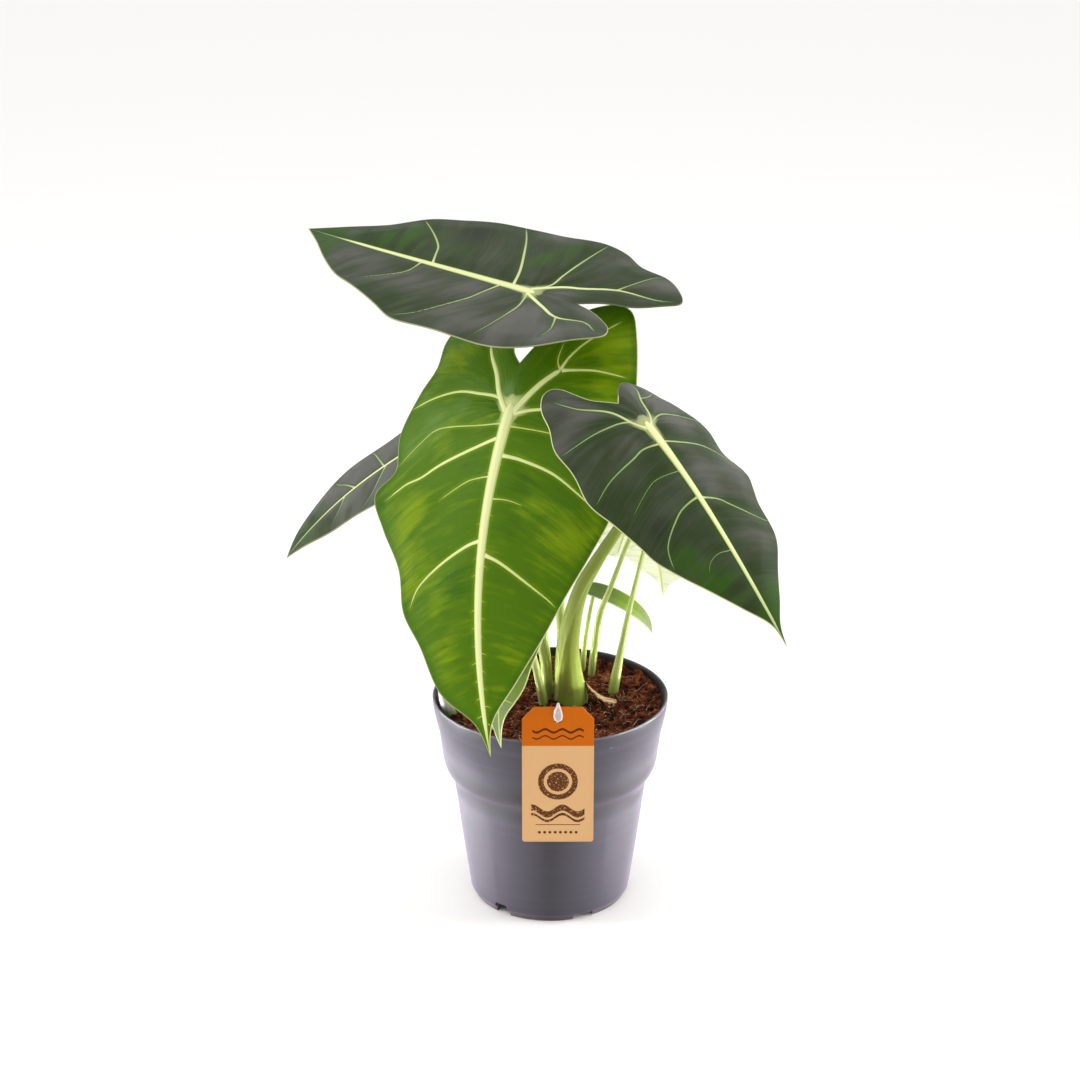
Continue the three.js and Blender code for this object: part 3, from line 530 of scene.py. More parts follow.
                 (-15, 20), (-27, 11), (-21, 4)],
        "right": [(58, -2.2), (53, -4), (45, -9), (37, -14), (20, -19.5), (2, -22.5), (-15, -20),
                  (-27, -11), (-21, -4)],
        "bright": [(30, 0, 40, 0.55)],
    },
    "leaf_young": {
        "look": "tender", "attach": (23.4, 40, 151.1), "tip": 46.5, "notch": (-3, 0),
        "pose": (-18.5, 8.5, 35, 77.5, 25.5, 10, 0, 0, 0), "fold": (14, 4.5), "curl": (-2, -2),
        "wave": (0, 1, 0), "midrib": (0.9, 0.8, 0.7, 0.6, 0.4),
        "left": [(36, 2.6), (24, 4.1), (10, 4.6), (-2, 4), (-7, 2)],
    },
    "leaf_pup_left": {
        "look": "pale", "attach": (42.3, 16, 205.3), "tip": 50, "notch": (-8, 0),
        "pose": (104, 50, -2, 0, 0, 10, 0, 0, 0), "fold": (3, 3), "curl": (-2, -2),
        "wave": (0.5, 3, 0.8), "midrib": (1.4, 1.2, 1.0, 0.8, 0.5),
        "left": [(48.5, 3.5), (43, 8), (35, 12), (25, 15), (13, 16.5), (0, 16), (-11, 14), (-18, 8),
                 (-14, 3)],
    },
    "leaf_pup_right": {
        "look": "pale", "attach": (52, 50, 179), "tip": 66.5, "notch": (-11, 0),
        "pose": (71.5, 49.5, 2.5, 0, 15, 10, 6, 0, 0), "fold": (7, 6), "curl": (-2, -2),
        "wave": (0.6, 3, 2.4), "midrib": (1.8, 1.5, 1.2, 0.9, 0.5),
        "left": [(60, 0.9), (54, 2), (49, 5), (43, 13), (36, 19), (24, 24.5), (8, 26.5), (-8, 25.5),
                 (-20, 20), (-26, 11), (-20, 4)],
        "right": [(61, -1.3), (54.5, -3.5), (49.5, -6.7), (43, -12), (35, -18), (24, -23), (8, -26.5),
                  (-8, -25.5), (-20, -20), (-26, -11), (-20, -4)],
    },
}


def mirrored(line):
    return [(along, -across) for along, across in line]


def even_veins(shape):
    """Side veins of a small blade: four pairs that sweep forwards, and a fork into each lobe."""
    half = max(across for _, across in shape["left"])
    width = shape["midrib"][0] * 0.4
    if half < 8:
        return []
    veins = []
    for share in (0.02, 0.22, 0.42, 0.62):
        start = shape["tip"] * share
        reach = half * (1 - share) ** 0.8
        veins.append((width, width * 0.4, [
            (start, 0.3), (start + reach * 0.1, reach * 0.35), (start + reach * 0.32, reach * 0.85)]))
    fork = [(0, 0.3), (-half * 0.35, half * 0.28), (-half * 0.85, half * 0.5)]
    veins.append((width * 1.5, width * 0.4, fork))
    return veins + [(start, end, mirrored(line)) for start, end, line in veins]


class Surface:
    """Middle surface of a blade over its flat plan."""

    def __init__(self, shape):
        self.shape = shape
        self.pose = dict(zip(POSE, shape["pose"]))
        ahead = self.walk(1, math.ceil(shape["tip"]) + 2)
        behind = self.walk(-1, LOBE_REACH)
        _, side, up = self.start()
        chain = [*behind[::-1], (Vector(shape["attach"]), side, up), *ahead]
        self.centre, self.side, self.up = [np.array([station[k] for station in chain]) for k in range(3)]

    def start(self):
        heading, pitch, roll = [math.radians(self.pose[key]) for key in ("heading", "pitch", "roll")]
        forward = Vector((*polar(math.cos(pitch), heading), -math.sin(pitch)))
        side = Vector((-math.sin(heading), math.cos(heading), 0))
        spin = Quaternion(forward, roll)
        return forward, spin @ side, spin @ forward.cross(side)

    def walk(self, direction, steps):
        """Stations (centre, side, up) one millimetre apart, away from the petiole."""
        pose, tip = self.pose, self.shape["tip"]
        forward, side, up = self.start()
        centre = Vector(self.shape["attach"])
        stations = []
        for i in range(steps):
            share = (i + 0.5) / tip
            droop = pose["droop"] + pose["tip_droop"] * share if direction > 0 else pose["lobe_droop"]
            twist = pose["twist"] if direction > 0 else pose["lobe_twist"]
            droop, bend, twist = [
                direction * math.radians(angle) / tip for angle in (droop, pose["bend"], twist)]
            pitch = Quaternion(side, droop)
            forward, up = pitch @ forward, pitch @ up
            yaw = Quaternion(up, bend)
            forward, side = yaw @ forward, yaw @ side
            roll = Quaternion(forward, twist)
            side, up = roll @ side, roll @ up
            centre = centre + forward * direction
            stations.append((centre.copy(), side.copy(), up.copy()))
        return stations

    def at(self, along, across):
        position = np.clip(along + LOBE_REACH, 0, len(self.centre) - 1.001)
        index = position.astype(int)
        blend = (position - index)[:, None]
        centre, side, up = [table[index] * (1 - blend) + table[index + 1] * blend
                            for table in (self.centre, self.side, self.up)]
        fold = np.radians(np.where(across > 0, *self.shape["fold"]))
        curl = np.where(across > 0, *self.shape["curl"]) / 1000
        reach = np.abs(across)
        out = (np.sin(fold + curl * reach) - np.sin(fold)) / curl * np.sign(across)
        lift = (np.cos(fold) - np.cos(fold + curl * reach)) / curl
        return centre + side * out[:, None] + up * lift[:, None]

    def normal(self, along, across):
        step = 0.5
        lengthwise = self.at(along + step, across) - self.at(along - step, across)
        crosswise = self.at(along, across + step) - self.at(along, across - step)
        normal = np.cross(lengthwise, crosswise)
        return normal / np.linalg.norm(normal, axis=1)[:, None]


def nearest_on_line(points, line):
    """Distance from each plan point to the line, and where along the line that is, as a share."""
    best = np.full(len(points), FAR)
    where = np.zeros(len(points))
    for i, (a, b) in enumerate(zip(line, line[1:])):
        run = b - a
        share = np.clip((points - a) @ run / max(run @ run, 1e-9), 0, 1)
        distance = np.linalg.norm(points - a - share[:, None] * run, axis=1)
        closer = distance < best
        best[closer] = distance[closer]
        where[closer] = (i + share[closer]) / (len(line) - 1)
    return best, where


def spots_between(inner, outer, steps):
    """Spots (along, across, lift) from one out to another, crowded towards the outer one."""
    reach = np.linalg.norm((outer - inner)[:2])
    pinch = min(1, reach / 6) / max(reach, 1e-6)
    near = [1 - gap * pinch for gap in MARGIN_GAPS]
    outs = np.concatenate([np.linspace(0, near[0], steps - 2)[:-1], near])[:, None]
    spots = inner + (outer - inner) * outs
    spots[:, 2] = outer[2] * outs[:, 0] ** 2
    return spots


def soft_patches(plan, patches):
    """Sum of round patches (along, across, radius, strength) that fade out smoothly."""
    total = np.zeros(len(plan))
    for along, across, radius, strength in patches:
        square = (plan[:, 0] - along) ** 2 + (plan[:, 1] - across) ** 2
        total += strength * np.exp(-square / radius ** 2)
    return np.clip(total, 0, 1)


def side_run(plan):
    """For each plan point, where the fine side vein through it leaves the midrib: it starts out square to
    it and curves forwards. Behind the petiole these veins turn back into the lobes."""
    along, out = plan[:, 0], np.abs(plan[:, 1])
    forward = 0.12 * out + 0.0075 * out ** 2
    behind = np.maximum(np.arctan2(out, along) - np.arctan2(out + 1e-9, forward), 0)
    return np.where(behind > 0, -45 * behind, along - forward)


def width_at(share, widths):
    """Width of a vein at a share of its length."""
    return np.interp(share, np.linspace(0, 1, len(widths)), widths)


class Blade:
    """A finely divided blade: a closed sheet with quilted relief, and veins that stand a little proud."""

    def __init__(self, shape, settings):
        self.shape = {"right": mirrored(shape["left"]), **shape}
        self.surface = Surface(shape)
        self.thickness = settings.thickness / MM
        self.velvety = shape["look"] == "dark"
        self.relief = settings.relief / MM * (VELVET_SWELL if self.velvety else 1)
        fine = 1 if shape["tip"] > SMALL_TIP else SMALL_NET
        steps = [round(fine * count) for count in NET_STEPS]
        self.blade_steps, self.lobe_steps, self.root_steps, self.across, self.rings = steps
        self.lay_veins()
        self.lay_net()
        self.raise_sheet()

    def lay_veins(self):
        """Each vein as its widths and its line: the midrib, the side veins and the midrib's spurs."""
        shape = self.shape
        tip = shape["tip"]
        midrib = smooth_line([(-2.6, 0), (tip * 0.1, 0), (tip / 2, 0), (tip - 1, 0)], 0, MIDRIB_STEPS)
        self.veins = [(shape["midrib"], midrib)]
        slim = SLIM_VELVET if self.velvety else SLIM
        for start, end, points in [*(shape.get("veins") or even_veins(shape)), *self.spurs()]:
            start, end = start * slim, end * slim
            knots = np.array(points, float)
            count = max(8, int(np.linalg.norm(np.diff(knots, axis=0), axis=1).sum() / 1.2))
            self.veins.append(((start, (start * 2 + end) / 3, end), smooth_line(knots, 0, count)))

    def spurs(self):
        """Short veinlets on both sides of the midrib, of uneven length."""
        spacing = self.shape.get("spurs", FAR)
        for i in range(int(self.shape["tip"] * 0.8 / spacing)):
            for side in (-1, 1):
                start = 24 + i * spacing + 4 * (side > 0)
                reach = 1.4 + 0.9 * math.sin(i * 2.3 + side)
                outs = zip((0, 0.5, 1.2), (1.2, 1.6 + reach * 0.5, 1.6 + reach))
                yield 0.3, 0.08, [(start + ahead, side * out) for ahead, out in outs]

    def margin_runs(self, half):
        """Margin spots of one half: from the tip to abreast of the petiole, and from there to the notch."""
        shape = self.shape
        line = smooth_line([(shape["tip"], 0), *shape[half], shape["notch"]], 0, MARGIN_DETAIL)
        shares = np.linspace(0, 1, len(line))
        height, count, phase = shape["wave"]
        lift = height * np.sin(2 * math.pi * count * shares + phase) * np.sin(math.pi * shares)
        spots = np.column_stack([line, lift])
        abreast = int(np.argmax(line[:, 0] < 0))

        def run(first, last, steps):
            wanted = np.linspace(first, last, steps + 1)
            return [np.array([np.interp(at, range(len(spots)), column) for column in spots.T])
                    for at in wanted]

        return run(0, abreast, self.blade_steps), run(abreast, MARGIN_DETAIL, self.lobe_steps)

    def number(self, spot):
        """Index of a plan spot; spots in one place share it."""
        key = (round(spot[0] * 500), round(spot[1] * 500))
        if key not in self.numbers:
            self.numbers[key] = len(self.spots)
            self.spots.append(spot)
        return self.numbers[key]

    def fill(self, lines, flip):
        """Quads of the sheet between each line of spots and the next."""
        rows = [[self.number(spot) for spot in line] for line in lines]
        for row, following in zip(rows, rows[1:]):
            for j in range(1, len(row)):
                corners = list(dict.fromkeys([row[j - 1], row[j], following[j], following[j - 1]]))
                if len(corners) > 2:
                    self.faces.append(tuple(reversed(corners)) if flip else tuple(corners))

    def lay_net(self):
        """Lines from the midrib to the margin, and spokes from a hub in each lobe to the lobe's edge."""
        tip, notch = self.shape["tip"], np.array([*self.shape["notch"], 0.0])
        self.spots, self.faces, self.numbers = [], [], {}
        midrib = [np.array([tip * (1 - i / self.blade_steps), 0, 0]) for i in range(self.blade_steps + 1)]
        root = [notch * (1 - i / self.root_steps) for i in range(1, self.root_steps)]
        rims, self.margins = [], []
        for half in ("left", "right"):
            flip = half == "right"
            blade_edge, lobe_edge = self.margin_runs(half)
            lines = [spots_between(rib, edge, self.across) for rib, edge in zip(midrib, blade_edge)]
            loop = [*lines[-1], *lobe_edge[1:], *root]
            hub = np.mean(loop, axis=0) * (1, 1, 0)
            self.fill(lines, flip)
            self.fill([spots_between(hub, edge, self.rings) for edge in (*loop, loop[0])], flip)
            margin = [*blade_edge, *lobe_edge[1:]]
            rims.append([self.number(spot) for spot in margin])
            self.margins.append(np.array(margin)[:, :2])
        self.rim = list(dict.fromkeys(rims[0] + rims[1][::-1]))

    def raise_sheet(self):
        """Lifts the plan into space, swollen between the veins, and marks what the finishes need."""
        spots = np.array(self.spots)
        self.plan = plan = spots[:, :2]
        self.edge = np.minimum(*[nearest_on_line(plan, margin)[0] for margin in self.margins])
        self.to_vein = np.full(len(plan), FAR)
        for widths, line in self.veins:
            distance, where = nearest_on_line(plan, line)
            self.to_vein = np.minimum(self.to_vein, np.maximum(distance - width_at(where, widths) / 2, 0))
        self.flow = np.column_stack([side_run(plan), np.abs(plan[:, 1]), np.where(plan[:, 1] > 0, 0, 40)])
        self.tone = np.column_stack([
            soft_patches(plan, self.shape.get(key, ())) for key in ("bright", "shade", "sheen_tone")])
        swell = self.relief * (1 - np.exp(-self.to_vein / VEIN_SWELL))
        swell = swell * np.clip(self.edge / MARGIN_SWELL, 0, 1)
        self.normals = normal = self.surface.normal(*plan.T)
        middle = self.surface.at(*plan.T) + normal * (spots[:, 2] + swell)[:, None]
        self.upper = middle + normal * self.thickness / 2
        self.lower = middle - normal * self.thickness / 2
        self.flat = [Vector((along, across, 0)) for along, across in plan]
        self.tree = BVHTree.FromPolygons(self.flat, self.faces)

    def seat(self, spot, under):
        """Point and outward normal on the upper or lower face over a plan point."""
        place, _, index, _ = self.tree.find_nearest(Vector((*spot, 0)))
        corners = self.faces[index]
        weights = poly_3d_calc([self.flat[k] for k in corners], place)
        side = self.lower if under else self.upper
        point, normal = [sum(weight * table[k] for weight, k in zip(weights, corners))
                         for table in (side, self.normals)]
        return point, -normal if under else normal

    def add_vein(self, parts, vein, under):
        """A low rounded ridge on one face, wider where it starts, that thins out to a point."""
        widths, line = vein
        count, slope, least, lift = RIDGE_UNDER if under else RIDGE_OVER
        run = np.gradient(line, axis=0)
        step = np.linalg.norm(run, axis=1).mean()
        run /= np.linalg.norm(run, axis=1)[:, None]
        points, ridge, places = [], [], []
        for i, (spot, forward) in enumerate(zip(line, run)):
            share = i / (len(line) - 1)
            width = width_at(share, widths) * min(1, (1 - share) * 10 + 0.1) * (UNDER_WIDTH if under else 1)
            rise = math.sqrt(min(1, (i + 0.1) * step / 4))
            if vein is self.veins[0]:
                width *= rise
            else:
                width *= 1 + 0.7 * math.exp(-i * step / 2) * min(1, 1.5 / widths[0])
            for rung in np.linspace(-0.5, 0.5, count):
                place = spot + np.array([-forward[1], forward[0]]) * rung * width
                point, normal = self.seat(place, under)
                height = rise * (width * slope + least) * (1 - 4 * rung * rung) + lift
                points.append(point + normal * height)
                ridge.append((width, abs(2 * rung), share))
                places.append((place[0] / self.shape["tip"], *place))
        faces = []
        for i in range(len(line) - 1):
            for a in range(i * count, (i + 1) * count - 1):
                quad = (a, a + count, a + count + 1, a + 1)
                faces.append(tuple(reversed(quad)) if under else quad)
        blank = np.zeros((len(points), 3))
        parts.add(points, faces, 3 if under else 2, plan=places, flow=places, tone=blank,
                  edge=np.full(len(points), 9.0), vein=blank[:, 0], line=blank[:, 0], ridge=ridge)

    def build(self, name, slot, materials):
        parts = Parts()
        count = len(self.plan)
        place = np.column_stack([self.plan[:, 0] / self.shape["tip"], self.plan])
        line = np.where(self.plan[:, 1] > 0, *self.shape.get("line", (0.5, 0.5)))
        marks = {"plan": place, "flow": self.flow, "tone": self.tone, "edge": self.edge, "vein": self.to_vein,
                 "line": line, "ridge": np.zeros((count, 3))}
        parts.add(self.upper, self.faces, 0, **marks)
        parts.add(self.lower, [tuple(reversed(face)) for face in self.faces], 1, **marks)
        for a, b in zip(self.rim, self.rim[1:] + self.rim[:1]):
            parts.faces.append((a, count + a, count + b, b))
            parts.kinds.append(0)
        for vein in self.veins:
            self.add_vein(parts, vein, False)
            if vein[0][0] > UNDER_VEIN:
                self.add_vein(parts, vein, True)
        return parts.piece(name + "_dressed", slot, materials, replaces=(name,))


class LeafSettings(bpy.types.PropertyGroup):
    thickness: length_prop("Thickness", "Thickness of a blade", 0.5)
    relief: length_prop("Relief", "How far a blade swells up between its veins", 1.1)
    margin: length_prop("Margin", "Width of the pale line along the margin", 0.45)
    dark: colour_prop("Dark green", "Deep green of the velvety blades", rgb(42, 56, 24))
    # velvet_sheen is the colour of a painted sheen: the grey that the velvety blades show in glancing light
    velvet_sheen: colour_prop("Velvet", "Grey bloom of the velvety blades", rgb(86, 86, 80))
    glow: colour_prop("Glow", "Lighter green that shows through the velvety blades", rgb(46, 78, 14))
    fresh: colour_prop("Fresh green", "Green of the light blade", rgb(72, 108, 0))
    lime: colour_prop("Lime", "Yellow-green streaks of the light blade", rgb(116, 142, 2))
    shade: colour_prop("Shade", "Darker streaks of the light blade", rgb(42, 82, 2))
    # gloss is the colour of a painted highlight on the light blade
    gloss: colour_prop("Gloss", "Grey-green gloss on the light blade", rgb(118, 152, 82))
    vein: colour_prop("Vein", "Pale yellow of the veins", rgb(224, 228, 164))
    under: colour_prop("Underside", "Underside of the blades", rgb(112, 134, 82))
    pale: colour_prop("Pale underside", "Underside of the offsets' thin blades", rgb(228, 232, 202))
    tender: colour_prop("Tender", "Grey-green of the youngest blade", rgb(108, 130, 80))


class BladeFinish(Finish):
    """A material that reads the marks of a blade's mesh."""

    def __init__(self, name, settings):
        super().__init__(name)
        self.settings = settings
        self.plan = self.attribute("plan", "Vector")

    def bands(self, lengthwise, outwards, detail=3, roughness=0.5):
        """Noise drawn out beside the side veins."""
        scales = (lengthwise, outwards, 1)
        return self.drawn_noise(self.attribute("flow", "Vector"), scales, detail, roughness)

    def streaks(self):
        return self.bands(0.8, 0.035, 4, 0.6)

    def clouds(self, scale, detail=3):
        """Noise over the flat plan."""
        return self.drawn_noise(self.plan, (0, scale, scale), detail)

    def halo(self, low, high):
        """1 as far as low from a vein, down to 0 at high."""
        return 1 - self.fade(self.attribute("vein"), low, high)

    def hub(self, reach):
        """Pale web between the veins where they meet over the stalk, as far as reach."""
        _, along, across = self.split(self.plan)
        middle = 1 - self.fade((along * along + across * across) ** 0.5, 0.16 * reach, reach)
        return middle * self.halo(0.04 * reach, 0.13 * reach)

    def margin(self):
        """Pale line along the margin, as strong as each half of the blade has it."""
        width = self.settings.margin / MM
        line = 1 - self.fade(self.attribute("edge"), width * 0.5, width * 1.3)
        return line * self.attribute("line")


def velvet_blade(settings):
    """Dark green with a painted grey sheen, as velvety blades show in glancing light, laid in patches and
    bands, and green that shows through in bands beside the side veins.
    """
    finish = BladeFinish("velvet_blade", settings)
    bright, shade, sheen_tone = finish.split(finish.attribute("tone", "Vector"))
    clouds, bands, lines = finish.clouds(0.05), finish.bands(0.13, 0.03), finish.bands(1.1, 0.02, 2)
    # painted sheen: the velvety grey laid in the sheen_tone patches and in bands
    velvet_sheen = sheen_tone * (0.4 + bands) + (clouds - 0.5) * 0.9 + (bands - 0.5) * 1.2
    green = bright * (0.5 + bands) + (bands - 0.5) * 1.4 + (clouds - 0.5) * 0.9
    colour = finish.coats(
        settings.dark,
        (finish.fade(velvet_sheen, -0.25, 0.95), settings.velvet_sheen),
        (finish.fade(green, 0.12, 1.0), settings.glow),
        (finish.fade(shade + (bands - 0.5) * 0.9, 0.1, 0.9) * 0.6, rgb(28, 34, 22)),
        (finish.fade(lines, 0.55, 0.72) * 0.06, rgb(120, 132, 104)),
        (finish.halo(0.3, 2.4) * 0.4, settings.glow),
        (finish.hub(12) * 0.5, settings.vein),
        (finish.margin(), settings.vein))
    relief = bands * 0.7 + finish.clouds(3, 4) * 0.3
    return finish.surface(colour, 0.5 + 0.14 * clouds, 0.12, (relief, 0.0006, 0.6), Sheen_Weight=0.05,
                          Sheen_Roughness=0.4, Sheen_Tint=(0.86, 0.84, 0.88, 1))


def fresh_blade(settings, name, reach):
    """Light green with lime and darker bands beside the side veins, and a painted grey-green glossy highlight
    in the sheen_tone patches. reach is that of the pale hub.
    """
    finish = BladeFinish(name, settings)
    bright, shade, sheen_tone = finish.split(finish.attribute("tone", "Vector"))
    clouds, bands = finish.clouds(0.07, 2), finish.bands(0.26, 0.04, 5, 0.62)
    lime = bright * 0.75 + (bands - 0.5) * 2.0 + (clouds - 0.5) * 0.9
    rim = 1 - finish.fade(finish.attribute("edge"), 1.0, 4.5)
    colour = finish.coats(
        settings.fresh,
        (finish.fade(lime, 0.05, 0.95), settings.lime),
        (finish.fade(shade * 0.7 - (bands - 0.5) * 2.0, 0.1, 0.9) * 0.85, settings.shade),
        # painted highlight: a grey-green glossy sheen laid in the sheen_tone patches
        (finish.fade(sheen_tone + (bands - 0.5) * 0.9, 0.1, 0.9) * 0.6, settings.gloss),
        (finish.halo(0.3, 2.0) * 0.35, settings.lime),
        (finish.hub(reach) * 0.8, settings.vein),
        (rim * 0.35, settings.shade),
        (finish.margin(), settings.vein))
    relief = bands * 0.8 + finish.clouds(2.5) * 0.2
    return finish.surface(colour, 0.42 + 0.14 * bands, 0.1, (relief, 0.0009, 0.6))


def tender_blade(settings, name, tip):
    """A young blade: grey-green, brighter and then pale towards the tip."""
    finish = BladeFinish(name, settings)
    share, _, across = finish.split(finish.plan)
    bands = finish.bands(0.3, 0.05)
    colour = finish.coats(
        settings.tender,
        (finish.fade(share, 0.05, 0.4), rgb(128, 156, 44)),
        (finish.fade(share, 0.45, 0.9), tip),
        ((1 - finish.fade(abs(across), 0.2, 0.9)) * 0.35, settings.lime),
        (finish.fade(bands, 0.4, 0.7) * 0.4, settings.tender),
        (finish.margin(), settings.vein))
    return finish.surface(colour, 0.42 + 0.1 * bands, 0.2, (finish.streaks(), 0.0002, 0.5))


def under_blade(settings, name, base, painted_glow):
    """Underside: curved lines beside the side veins. painted_glow is the strength of a painted glow, the
    underside shedding its own colour as light, which stands in for light coming through it.
    """
    finish = BladeFinish(name, settings)
    streaks = finish.streaks()
    colour = finish.coats(
        base,
        (finish.fade(streaks, 0.42, 0.6) * 0.6, scaled(base, 0.7)),
        (finish.fade(finish.bands(0.12, 0.03), 0.4, 0.7) * 0.5, scaled(base, 0.62)),
        (finish.halo(0.2, 2.0) * 0.35, settings.vein),
        (finish.margin(), settings.vein))
    # painted glow: the colour is also given out as light
    return finish.surface(colour, 0.5 + 0.1 * streaks, 0.25, (streaks, 0.0003, 0.6),
                          Emission_Color=colour, Emission_Strength=painted_glow)


def vein_finish(settings, name, tint, side, strength):
    """Veins: pale along the middle, tinted where they are thin, and softer at their sides."""
    finish = BladeFinish(name, settings)
    width, rung, _ = finish.split(finish.attribute("ridge", "Vector"))
    mottle = finish.clouds(0.4)
    colour = finish.coats(
        settings.vein,
        ((1 - finish.fade(width, 0.4, 2.4)) * strength, tint),
        (finish.fade(rung, 0.5, 1.0) * 0.8, side),
        (mottle * 0.2, rgb(206, 214, 136)))
    return finish.surface(colour, 0.42 + 0.12 * mottle, 0.25, (mottle, 0.0002, 0.5))


class ALOCASIA_OT_leaves(bpy.types.Operator):
    """Build the eight blades with their veins"""

    bl_idname = "alocasia.leaves"
    bl_label = "Leaves"

    def execute(self, context):
        settings = context.scene.alocasia_leaf
        under = under_blade(settings, "green_underside", settings.under, 0.0)
        # the offsets' pale undersides get a painted glow
        pale = under_blade(settings, "pale_underside", settings.pale, 0.36)
        on_velvet, on_fresh, on_pale = [vein_finish(settings, *tints) for tints in (
            ("vein_on_velvet", rgb(128, 142, 102), rgb(84, 108, 50), 1.0),
            ("vein_on_fresh", rgb(168, 190, 70), rgb(132, 162, 30), 0.7),
            ("vein_on_pale", rgb(206, 218, 160), rgb(214, 224, 172), 0.6))]
        young = tender_blade(settings, "young_blade", rgb(122, 130, 98))
        low = tender_blade(settings, "low_blade", rgb(120, 140, 92))
        # a look's slot, and its materials above, below, and on the veins above and below
        looks = {
            "dark": ("leaf_dark", [velvet_blade(settings), under, on_velvet, on_velvet]),
            "fresh": ("leaf_fresh", [fresh_blade(settings, "fresh_blade", 12), under, on_fresh, on_fresh]),
            "pale": ("leaf_pale", [fresh_blade(settings, "small_fresh_blade", 3), pale, on_fresh, on_pale]),
            "tender": ("leaf_fresh", [young] * 4),
            "low": ("leaf_dark", [low, under, on_fresh, on_fresh]),
        }
        for name, shape in BLADES.items():
            Blade(shape, settings).build(name, *looks[shape["look"]])
        return {"FINISHED"}


# ---------------------------------------------------------------- stalks

TOP_SINK = 0.9        # how far a stalk's end goes into the midrib over it

# A stalk's path starts in the soil. blade names the one it carries, with how far under it the stalk
# turns to it. radii are (share of the length, radius).
STALKS = {
    "petiole_right": {
        "path": [(12, 9, 82), (10.8, 6.5, 104), (8.8, -3, 134), (10.9, -6, 153), (15.3, -9, 171),
                 (22.6, -13, 187), (34.6, -29, 213.5), (44.6, -58, 245)],
        "blade": ("leaf_right", 10), "sides": 72, "steps": 150,
        "radii": [(0, 8.8), (0.1, 8.6), (0.13, 7.8), (0.24, 5.8), (0.35, 4.3), (0.5, 3.1), (0.75, 2.3),
                  (1, 1.9)],
    },
    "petiole_front": {
        "path": [(0, 9, 82), (-1.6, 7, 104), (-2.9, -1, 129.5), (-5.2, -3, 142), (-11, -1, 200)],
        "blade": ("leaf_front", 14), "radii": [(0, 2.6), (0.15, 2.6), (0.5, 2.1), (1, 1.7)],
    },
    "petiole_top": {
        "path": [(6, 21, 82), (6.2, 18.6, 104), (5.5, 9, 145), (2, 8, 200), (-5, 11, 270)],
        "blade": ("leaf_top", 14), "radii": [(0, 2.7), (0.1, 2.7), (0.5, 2.1), (1, 1.7)],
    },
    "petiole_left": {
        "path": [(0, 17, 82), (-0.5, 16.5, 104), (-4, 17, 140), (-20, 27, 190)],
        "blade": ("leaf_left", 12), "radii": [(0, 2.2), (0.15, 2.2), (0.5, 1.8), (1, 1.5)],
    },
    "petiole_low": {
        "path": [(-2, 4, 84), (-3.4, 1, 104), (-7.5, -14, 132), (-11, -28, 152)],
        "blade": ("leaf_low", 8), "radii": [(0, 2.4), (0.25, 2.4), (0.5, 1.9), (1, 1.3)],
    },
    "petiole_young": {
        "path": [(16.5, 43, 88), (17, 42.5, 104), (19.5, 41, 130)],
        "blade": ("leaf_young", 6), "radii": [(0, 1.8), (0.3, 1.7), (0.6, 1.2), (1, 0.9)],
    },
    "petiole_pup_left": {
        "path": [(21.4, 40, 88), (21.9, 38.4, 104), (25.9, 31, 141), (30.9, 26, 157.5), (38.3, 17, 183)],
        "blade": ("leaf_pup_left", 5), "radii": [(0, 2), (0.3, 1.9), (0.6, 1.3), (1, 1)],
    },
    "petiole_pup_right": {
        "path": [(32, 15, 86), (32.8, 15.4, 104), (35.9, 17, 123), (40.3, 20, 146)],
        "blade": ("leaf_pup_right", 5), "radii": [(0, 2.6), (0.25, 2.6), (0.4, 1.7), (0.7, 1.2), (1, 1)],
    },
    "shoot": {
        "path": [(-47.8, -15.4, 90), (-50.4, -15.7, 104), (-53.2, -14.2, 112), (-56.4, -12.8, 119.5)],
        "radii": [(0, 3.6), (0.5, 3.6), (0.8, 2.6), (1, 0.7)], "sides": 32,
    },
}


def path_end(name, approach):
    """The last points of a stalk: up to its blade from below, and a little into the midrib."""
    shape = BLADES[name]
    forward, _, up = Surface(shape).start()
    end = Vector(shape["attach"]) - up * (0.35 + RIB_DEPTH + STALK_GAP)
    before = end - up * approach - forward * approach * 0.25
    return [tuple(before), tuple(end + up * TOP_SINK)]


class StemSettings(bpy.types.PropertyGroup):
    olive: colour_prop("Olive", "Green of the thick stem", rgb(136, 152, 54))
    edge: colour_prop("Edge", "Lighter green towards the sides of the thick stem", rgb(158, 172, 84))
    young: colour_prop("Young", "Yellow-green of the thin stalks", rgb(166, 186, 92))
    young_edge: colour_prop("Young edge", "Pale streaks of the thin stalks", rgb(212, 222, 150))
    foot: colour_prop("Foot", "Green of the stalks at the soil", rgb(132, 152, 68))
    rib_depth: length_prop("Ribs", "Depth of the fine lengthwise ribs", 0.06)


def stalk_finish(settings, name, core, edge, foot_height):
    """Fine lengthwise streaks, a painted highlight along the rolled edge of the thick stem's base with a
    painted shadow just under it, and a darker foot that ends foot_height over the soil.
    """
    finish = Finish(name)
    stem, rolled = finish.attribute("stem", "Vector"), finish.attribute("rolled")
    _, _, height = finish.split(stem)
    streaks = finish.drawn_noise(stem, (2, 3.2, 0.012), 4, 0.6)
    clouds = finish.noise(finish.place(), 70)
    specks = finish.noise(finish.place(), 800, 2)
    colour = finish.coats(
        core,
        (finish.fade(streaks, 0.3, 0.75) * 0.6, edge),
        (finish.fade(clouds, 0.42, 0.72) * 0.3, edge),
        ((1 - finish.fade(height, 103, 103 + foot_height)) * 0.7, settings.foot),
        # painted highlight on the rolled edge, and painted shadow just under it
        (finish.fade(rolled, 0.1, 0.95) * 0.4, rgb(196, 206, 126)),
        ((1 - finish.fade(rolled, -0.9, -0.2)) * 0.3, settings.foot),
        (finish.fade(specks, 0.64, 0.72) * 0.2, settings.foot))
    return finish.surface(colour, 0.4 + 0.16 * clouds, 0.3, (streaks, 0.0005, 0.5))


